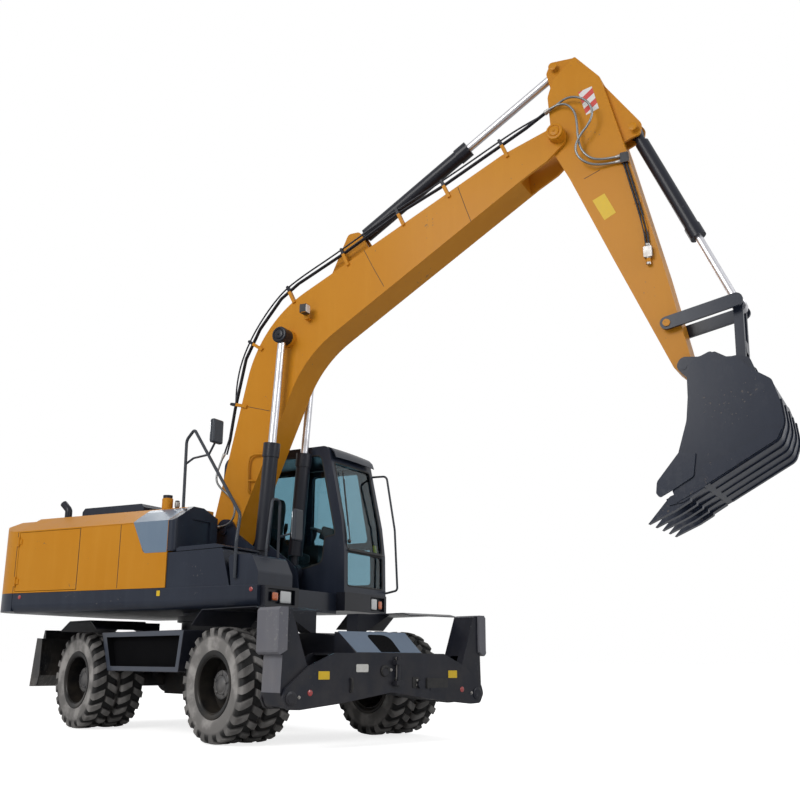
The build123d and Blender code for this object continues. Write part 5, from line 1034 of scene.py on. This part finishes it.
def cap(centre, reach, side, radius):
    """A pivot's end, at reach from the middle: flange, groove, raised disc and a grease nipple."""
    profile = [(0.0, radius), (0.008, radius), (0.011, radius * 0.94), (0.011, radius * 0.76),
               (0.004, radius * 0.73), (0.004, radius * 0.62), (0.013, radius * 0.58), (0.016, radius * 0.50),
               (0.016, 0.014), (0.028, 0.008), (0.032, 0.003)]
    return turned(profile, (centre[0], MID + side * reach, centre[1]), (0, side, 0), turn=True)


CAPS = {  # body, finish, centre (x, z), reach, radius, sides
    "boom_tip": ("boom", amber, (4.125, 6.062), 0.285, 0.088, (-1, 1)),
    "boom_heads": ("boom", black, HEAD, 0.250, 0.092, (-1, 1)),
    "boom_foot": ("upper", black, (0.060, 2.150), 0.260, 0.070, (1,)),
}
for name, (body, finish, centre, reach, radius, sides) in CAPS.items():
    piece("pin_caps_" + name, [cap(centre, reach, side, radius) for side in sides], body, finish)
EYE = [(-0.0632, 0.050), (-0.0632, 0.0945), (0.0632, 0.0945), (0.0632, 0.050), (0.0622, 0.050),
       (0.0622, 0.0925), (-0.0622, 0.0925), (-0.0622, 0.050)]
shapes = [turned(EYE, (HEAD[0], MID + side * HEAD_REACH, HEAD[1]), LEFT, 40, True, True) for side in (-1, 1)]
shapes += [cap(HEAD, HEAD_REACH + 0.0634, side, 0.090) for side in (-1, 1)]
piece("rod_heads", shapes, "boom_rods", black)
pins = [disc((x, MID + side * 0.1502, z), (0, side, 0), 0.045, 0.010, True)
        for x, z in ((4.087, 6.915), (4.900, 5.980)) for side in (-1, 1)]
piece("arm_pin_discs", pins, "arm", amber)


# %% Seams and the boom's rail
def strip(points, y, width=0.006, thick=0.0008):
    """A flat line along points (x, z) on a side face."""
    line = at_side(points, y)
    out = np.cross(unit(np.gradient(line, axis=0)), LEFT) * width / 2
    low, high = line - out, line + out
    return net(upper(np.stack([low, high, high - [0, thick, 0], low - [0, thick, 0]], 1)))


BOOM_SEAMS = [[(0.226, 3.600), (0.41, 3.549), (0.599, 3.498)], [(1.81, 5.23), (1.93, 5.00), (2.07, 4.75)],
              [(2.98, 5.74), (3.06, 5.50), (3.13, 5.30)]]
ARM_SEAM = [(4.376, 5.522), (4.46, 5.552), (4.547, 5.582)]
HOOD_SEAMS = [[(x, z) for z in (1.484, 1.75, 2.05, 2.160)] for x in (-2.197, -1.222, -0.629)]
# Thin black lines of painted shade where the plates meet, and in the gaps between the hood's panels.
piece("boom_seam_shade", [strip(rows, BOOM_FACE) for rows in BOOM_SEAMS], "boom", rubber_and_seam_shade)
piece("arm_seam_shade", [strip(ARM_SEAM, ARM_FACE)], "arm", rubber_and_seam_shade)
piece("hood_gap_shade", [strip(rows, -HALF - 0.0004, 0.007) for rows in HOOD_SEAMS], "upper", rubber_and_seam_shade)
rail = [(0.567, -0.318, 2.994), (0.545, -0.352, 2.994), (0.423, -0.354, 3.006), (0.352, -0.354, 2.950),
        (0.360, -0.354, 2.700), (0.366, -0.352, 2.592), (0.372, -0.318, 2.564)]
rung = [(0.360, -0.354, 2.706), (0.400, -0.350, 2.703), (0.430, -0.318, 2.700)]
shapes = [tube(smooth_path(upper(rail)), 0.013, 14), tube(smooth_path(upper(rung)), 0.011)]
piece("boom_rail", shapes, "boom", amber)

# %% Upper pipe along the boom
PIPE_LINE = np.array([(0.105, 3.600), (0.160, 3.870), (0.225, 4.169), (0.410, 4.512), (0.695, 4.839),
                      (0.928, 4.985), (1.535, 5.243), (2.246, 5.586), (2.807, 5.799), (3.600, 6.158),
                      (3.800, 6.249), (3.940, 6.327)])
PIPE_RISE = [0.0, *[0.058] * 9, 0.040, 0.006]
PIPE_SIDE = -0.309
CLAMPS = [(0.110, 3.628), (0.318, 4.341), (0.812, 4.912), (1.535, 5.243), (2.246, 5.586), (2.807, 5.799),
          (3.500, 6.113)]


def pipe_way(spot):
    """Unit directions along and away from the boom at a spot of the pipe's line."""
    k = int(np.argmin(np.linalg.norm(PIPE_LINE - spot, axis=1)))
    way = unit(PIPE_LINE[min(k + 1, len(PIPE_LINE) - 1)] - PIPE_LINE[max(k - 1, 0)])
    return way, np.array([-way[1], way[0]])


raised = np.array([spot + rise * pipe_way(spot)[1] for spot, rise in zip(PIPE_LINE, PIPE_RISE)])
shapes = [tube(upper(smooth_path(at_side(raised, PIPE_SIDE))), 0.0095, 14)]
for spot in np.array(CLAMPS):
    (ahead, rise), away = pipe_way(spot)
    x, z = spot + away * 0.028
    shapes.append(plate((x, -0.2865, z), RIGHT, (0.034, 0.092), 0.012, 0.0475, 0.003, (ahead, 0, rise), True))
piece("boom_upper_pipe", shapes, "boom", black)

# %% [markdown]
# ## The stabilizer's front
# The beam's face holds a towing eye with a bright pin, a round socket and a few bolts. Behind
# it the sloping cover has a long opening, closed by a black sheet of painted shade, and each leg
# carries its folded foot. The boxes between the axles get a bright frame and, inside, a black
# tray of painted shade, and the arm its pipes and valve.

# %% Sloping cover
SLOPE = np.array([0.598, 0, 0.8015])
# A black sheet over the cover's opening: painted shade in place of its dark inside.
hole = round_corners([(-108, -148, 8), (138, -148, 8), (172, 122, 110), (-112, 122, 55)], 8)
piece("cover_opening_shade", [slab(hole, 0.0024, 0.0006, facing((2.508, 0.0, 0.9150), SLOPE))], "chassis",
      shade_black)
COVER = [(2.372, 1.0165), (2.44, 0.9658), (2.51, 0.9135), (2.58, 0.8613), (2.630, 0.8240)]
halves = [0.405 + 0.02 * (2.630 - x) / 0.25 for x, z in COVER]
sheet = np.array([[(x, y, z) for y in np.linspace(-half, half, 25)] for (x, z), half in zip(COVER, halves)])
cover = np.concatenate([sheet + SLOPE * 0.0008, (sheet + SLOPE * 0.0016)[:, ::-1]], 1)
piece("cover_skin", [net(cover)], "chassis", cover_blue)


# %% Beam fittings
def on_beam(y, z, size, corner, thick):
    """A block on the beam's front face."""
    return plate((FACE, y, z), FRONT, size, corner, thick)


BOLTS = [(-1.070, 0.445), (1.070, 0.445), (0.318, 0.572), (0.318, 0.530), (-0.010, 0.668)]
shapes = [turned([(0, 0.013), (0.004, 0.017), (0.150, 0.017), (0.154, 0.013)], (2.672, 0.060, 0.600), UP, 20)]
shapes += [on_beam(0.060, z, (0.040, 0.034), 0.006, 0.018) for z in (0.585, 0.768)]
shapes += nuts([(FACE, y, z) for y, z in BOLTS], FRONT, 0.012, 0.010)
piece("beam_bright_parts", shapes, "chassis", steel)
SOCKET = [(0, 0.052), (0.012, 0.052), (0.016, 0.046), (0.016, 0.030), (0.006, 0.026), (0.006, 0.004)]
HANDLE = [(0.002, -0.500, 0.600), (0.020, -0.495, 0.590), (0.022, -0.490, 0.540), (0.020, -0.495, 0.490),
          (0.002, -0.500, 0.480)]
shapes = [turned(SOCKET, (FACE, -0.090, 0.660), FRONT, 28),
          on_beam(0.300, 0.552, (0.080, 0.100), 0.012, 0.006),
          on_beam(0.585, 0.545, (0.300, 0.090), 0.010, 0.006),
          on_beam(0.458, 0.545, (0.030, 0.100), 0.006, 0.016),
          tube(np.array(HANDLE) + (FACE, 0, 0), 0.010, 10)]
shapes += [disc((FACE, y, 0.612), FRONT, 0.014, 0.002) for y in (-0.952, 0.905)]
piece("beam_dark_parts", shapes, "chassis", rubber_and_seam_shade)


# %% Leg pins and feet
def prism(outline, x0, x1, side):
    """A closed bar along X whose section is an outline of (y, z), mirrored for the right side."""
    flat = np.asarray(outline) * (side, 1)
    return net(np.stack([np.column_stack([np.full(len(flat), x), flat]) for x in (x0, x1)]))


PIN = [(0, 0.060), (0.006, 0.060), (0.009, 0.054), (0.009, 0.010)]
for name, side in SIDES.items():
    hub = np.array([2.6605, side * 1.154, 0.437])
    shapes = [turned(PIN, hub, FRONT)]
    screws = [hub + (0.008, 0.036 * math.cos(a), 0.036 * math.sin(a)) for a in np.arange(6) * np.pi / 3]
    shapes += nuts(screws, FRONT, 0.006, 0.004)
    piece("leg_pin_" + name, shapes, "chassis", black)
PAD_X, STRIP_X = (2.3275, 2.6525), (2.352, 2.628)
PAD = [(1.2035, 1.2015), (1.2805, 1.2015), (1.3015, 1.176), (1.3015, 0.8195), (1.2755, 0.7985),
       (1.2035, 0.8385)]
RIB = [(1.3014, 0.826), (1.3045, 0.830), (1.3045, 0.842), (1.3014, 0.846)]
STRIP = [(1.2353, 0.796), (1.2463, 0.484), (1.2475, 0.484), (1.2365, 0.796)]
for name, side in SIDES.items():
    shapes = [prism(PAD, *PAD_X, side), prism(RIB, *PAD_X, side), prism(STRIP, *STRIP_X, side)]
    piece("foot_skin_" + name, shapes, "leg_" + name, tray_grey)

# %% Bright frame and painted shade in the recess of the side boxes
BOX_OUT = [(-0.905, 1.036), (-0.722, 0.634), (0.770, 0.634), (0.836, 1.036)]
BOX_IN = [(-0.796, 0.988), (-0.665, 0.680), (0.717, 0.680), (0.769, 0.988)]
BOX_DEPTH, SHADE_TRAY_THICK = 0.070, 0.002


def frame_skin(outer, inner, y, thick):
    """A flat ring between two outlines of (x, z) on a side face at y."""
    rows = [at_side(*row) for row in ((outer, y), (inner, y), (inner, y + thick), (outer, y + thick))]
    return net(np.stack(rows), close_rows=True, caps=False)


def shade_tray(outline, y):
    """A shallow open tray of painted shade in a recess: its rows run up the inside, over the rim and down the
    outside.
    """
    flat = np.array(outline)
    middle = flat.mean(0)
    inside, outside = (middle + (flat - middle) * share for share in (1 - SHADE_TRAY_THICK / 0.3 - 0.006, 0.994))
    front, back = y - np.sign(y) * 0.001, y - np.sign(y) * (BOX_DEPTH - 0.001)
    rows = [(middle + (inside - middle) * 0.02, back + np.sign(y) * SHADE_TRAY_THICK),
            (inside, back + np.sign(y) * SHADE_TRAY_THICK),
            (inside, front), (outside, front), (outside, back), (middle + (outside - middle) * 0.02, back)]
    return net(np.stack([at_side(*row) for row in rows]))


for name, side in SIDES.items():
    piece("box_frame_" + name, [frame_skin(BOX_OUT, BOX_IN, side * 1.1502, side * 0.0012)], "chassis",
          box_blue)
    # Inside each box, a black tray of painted shade.
    piece("box_shade_tray_" + name, [shade_tray(BOX_IN, side * 1.150)], "chassis", shade_black)

# %% Pipes and valve on the arm
ARM_PIPE = np.array([(4.796, 5.584), (4.822, 5.470), (4.956, 4.860), (4.968, 4.641)])
pipes = [tube(upper(smooth_path(at_side(ARM_PIPE + (ahead, 0), ARM_FACE - 0.018))), 0.0098, 14)
         for ahead in (0, 0.028)]
piece("arm_pipe_skins", pipes, "arm", black)


def on_arm(x, z, size, corner, thick):
    """A block on the arm's right side face."""
    return plate((x, ARM_FACE - 0.0005, z), RIGHT, size, corner, thick, 0.003, FRONT, True)


VALVE_END = [(0, 0.024), (0.012, 0.024), (0.014, 0.018), (0.050, 0.018), (0.054, 0.024), (0.076, 0.024),
             (0.080, 0.012)]
VALVE_CAP = [(0, 0.020), (0.010, 0.026), (0.030, 0.026), (0.034, 0.018)]
shapes = [on_arm(4.985, 4.585, (0.084, 0.114), 0.010, 0.0565),
          turned(VALVE_END, (4.985, ARM_FACE - 0.030, 4.532), (0, 0, -1), 20, turn=True),
          turned(VALVE_CAP, (4.985, ARM_FACE - 0.030, 4.640), UP, 20, turn=True)]
piece("arm_valve", shapes, "arm", steel)
piece("arm_port", [on_arm(4.810, 5.640, (0.082, 0.112), 0.008, 0.0485)], "arm", black)

# %% [markdown]
# ## Light and floor
# A plain studio: a large soft sky, one broad lamp from the photographer's left, a weaker one
# from the right and one behind. The floor and the background are white to the camera, and the floor still takes
# the machine's shadow.

# %% Studio
bpy.context.scene.view_settings.view_transform = "Standard"


def straight_view(tree):
    """One where the camera looks, directly or through glass; and the light path's own outputs."""
    path = add(tree, "ShaderNodeLightPath").outputs
    return maths(tree, "MAXIMUM", path["Is Camera Ray"], path["Is Transmission Ray"]), path


def white_world():
    """White to the camera and half so in reflections; a softer even light on everything else."""
    world = bpy.data.worlds.new("studio_sky")
    bpy.context.scene.world = world
    world.use_nodes = True
    tree = world.node_tree
    seen, path = straight_view(tree)
    seen = maths(tree, "MAXIMUM", seen, times(tree, path["Is Glossy Ray"], 0.55))
    feed(tree, tree.nodes["Background"], {"Color": (1, 1, 1, 1),
                                          "Strength": remap(tree, seen, 0.0, 1.0, 0.36, 1.0)})


def lamp(name, spot, aim, size, power, colour=(1, 1, 1)):
    """A square soft lamp at a spot, turned to shine at aim."""
    data = bpy.data.lights.new(name, "AREA")
    data.energy, data.size, data.color = power, size, colour
    w = unit(np.asarray(spot, float) - aim)
    u = unit(np.cross(w, [0, 0, 1]))
    stand(name, data, (u, np.cross(w, u), w), spot)


white_world()
lamp("key", (4.0, -13.0, 9.0), (1.5, 0.0, 2.0), 7.0, 1020.0, (1.0, 0.985, 0.96))
lamp("side", (14.0, 4.0, 7.0), (2.0, 0.0, 2.0), 6.0, 420.0, (0.96, 0.98, 1.0))
lamp("back", (-11.0, 6.0, 9.0), (0.0, 0.0, 2.0), 7.0, 420.0)
white_floor, tree, body = shader("white_floor", (0.72, 0.72, 0.72), 0.95, Specular_IOR_Level=0.1)
glow = remap(tree, straight_view(tree)[0], 0.0, 1.0, 0.0, 0.78)
feed(tree, body, {"Emission Color": (1, 1, 1, 1), "Emission Strength": glow})
FLOOR_HALF, FLOOR_Z = 150, -0.002
floor_mesh = bpy.data.meshes.new("floor")
corners = [(FLOOR_HALF * x, FLOOR_HALF * y, FLOOR_Z) for x, y in ((-1, -1), (1, -1), (1, 1), (-1, 1))]
floor_mesh.from_pydata(corners, [], [(0, 1, 2, 3)])
floor = shown("floor", floor_mesh, white_floor)
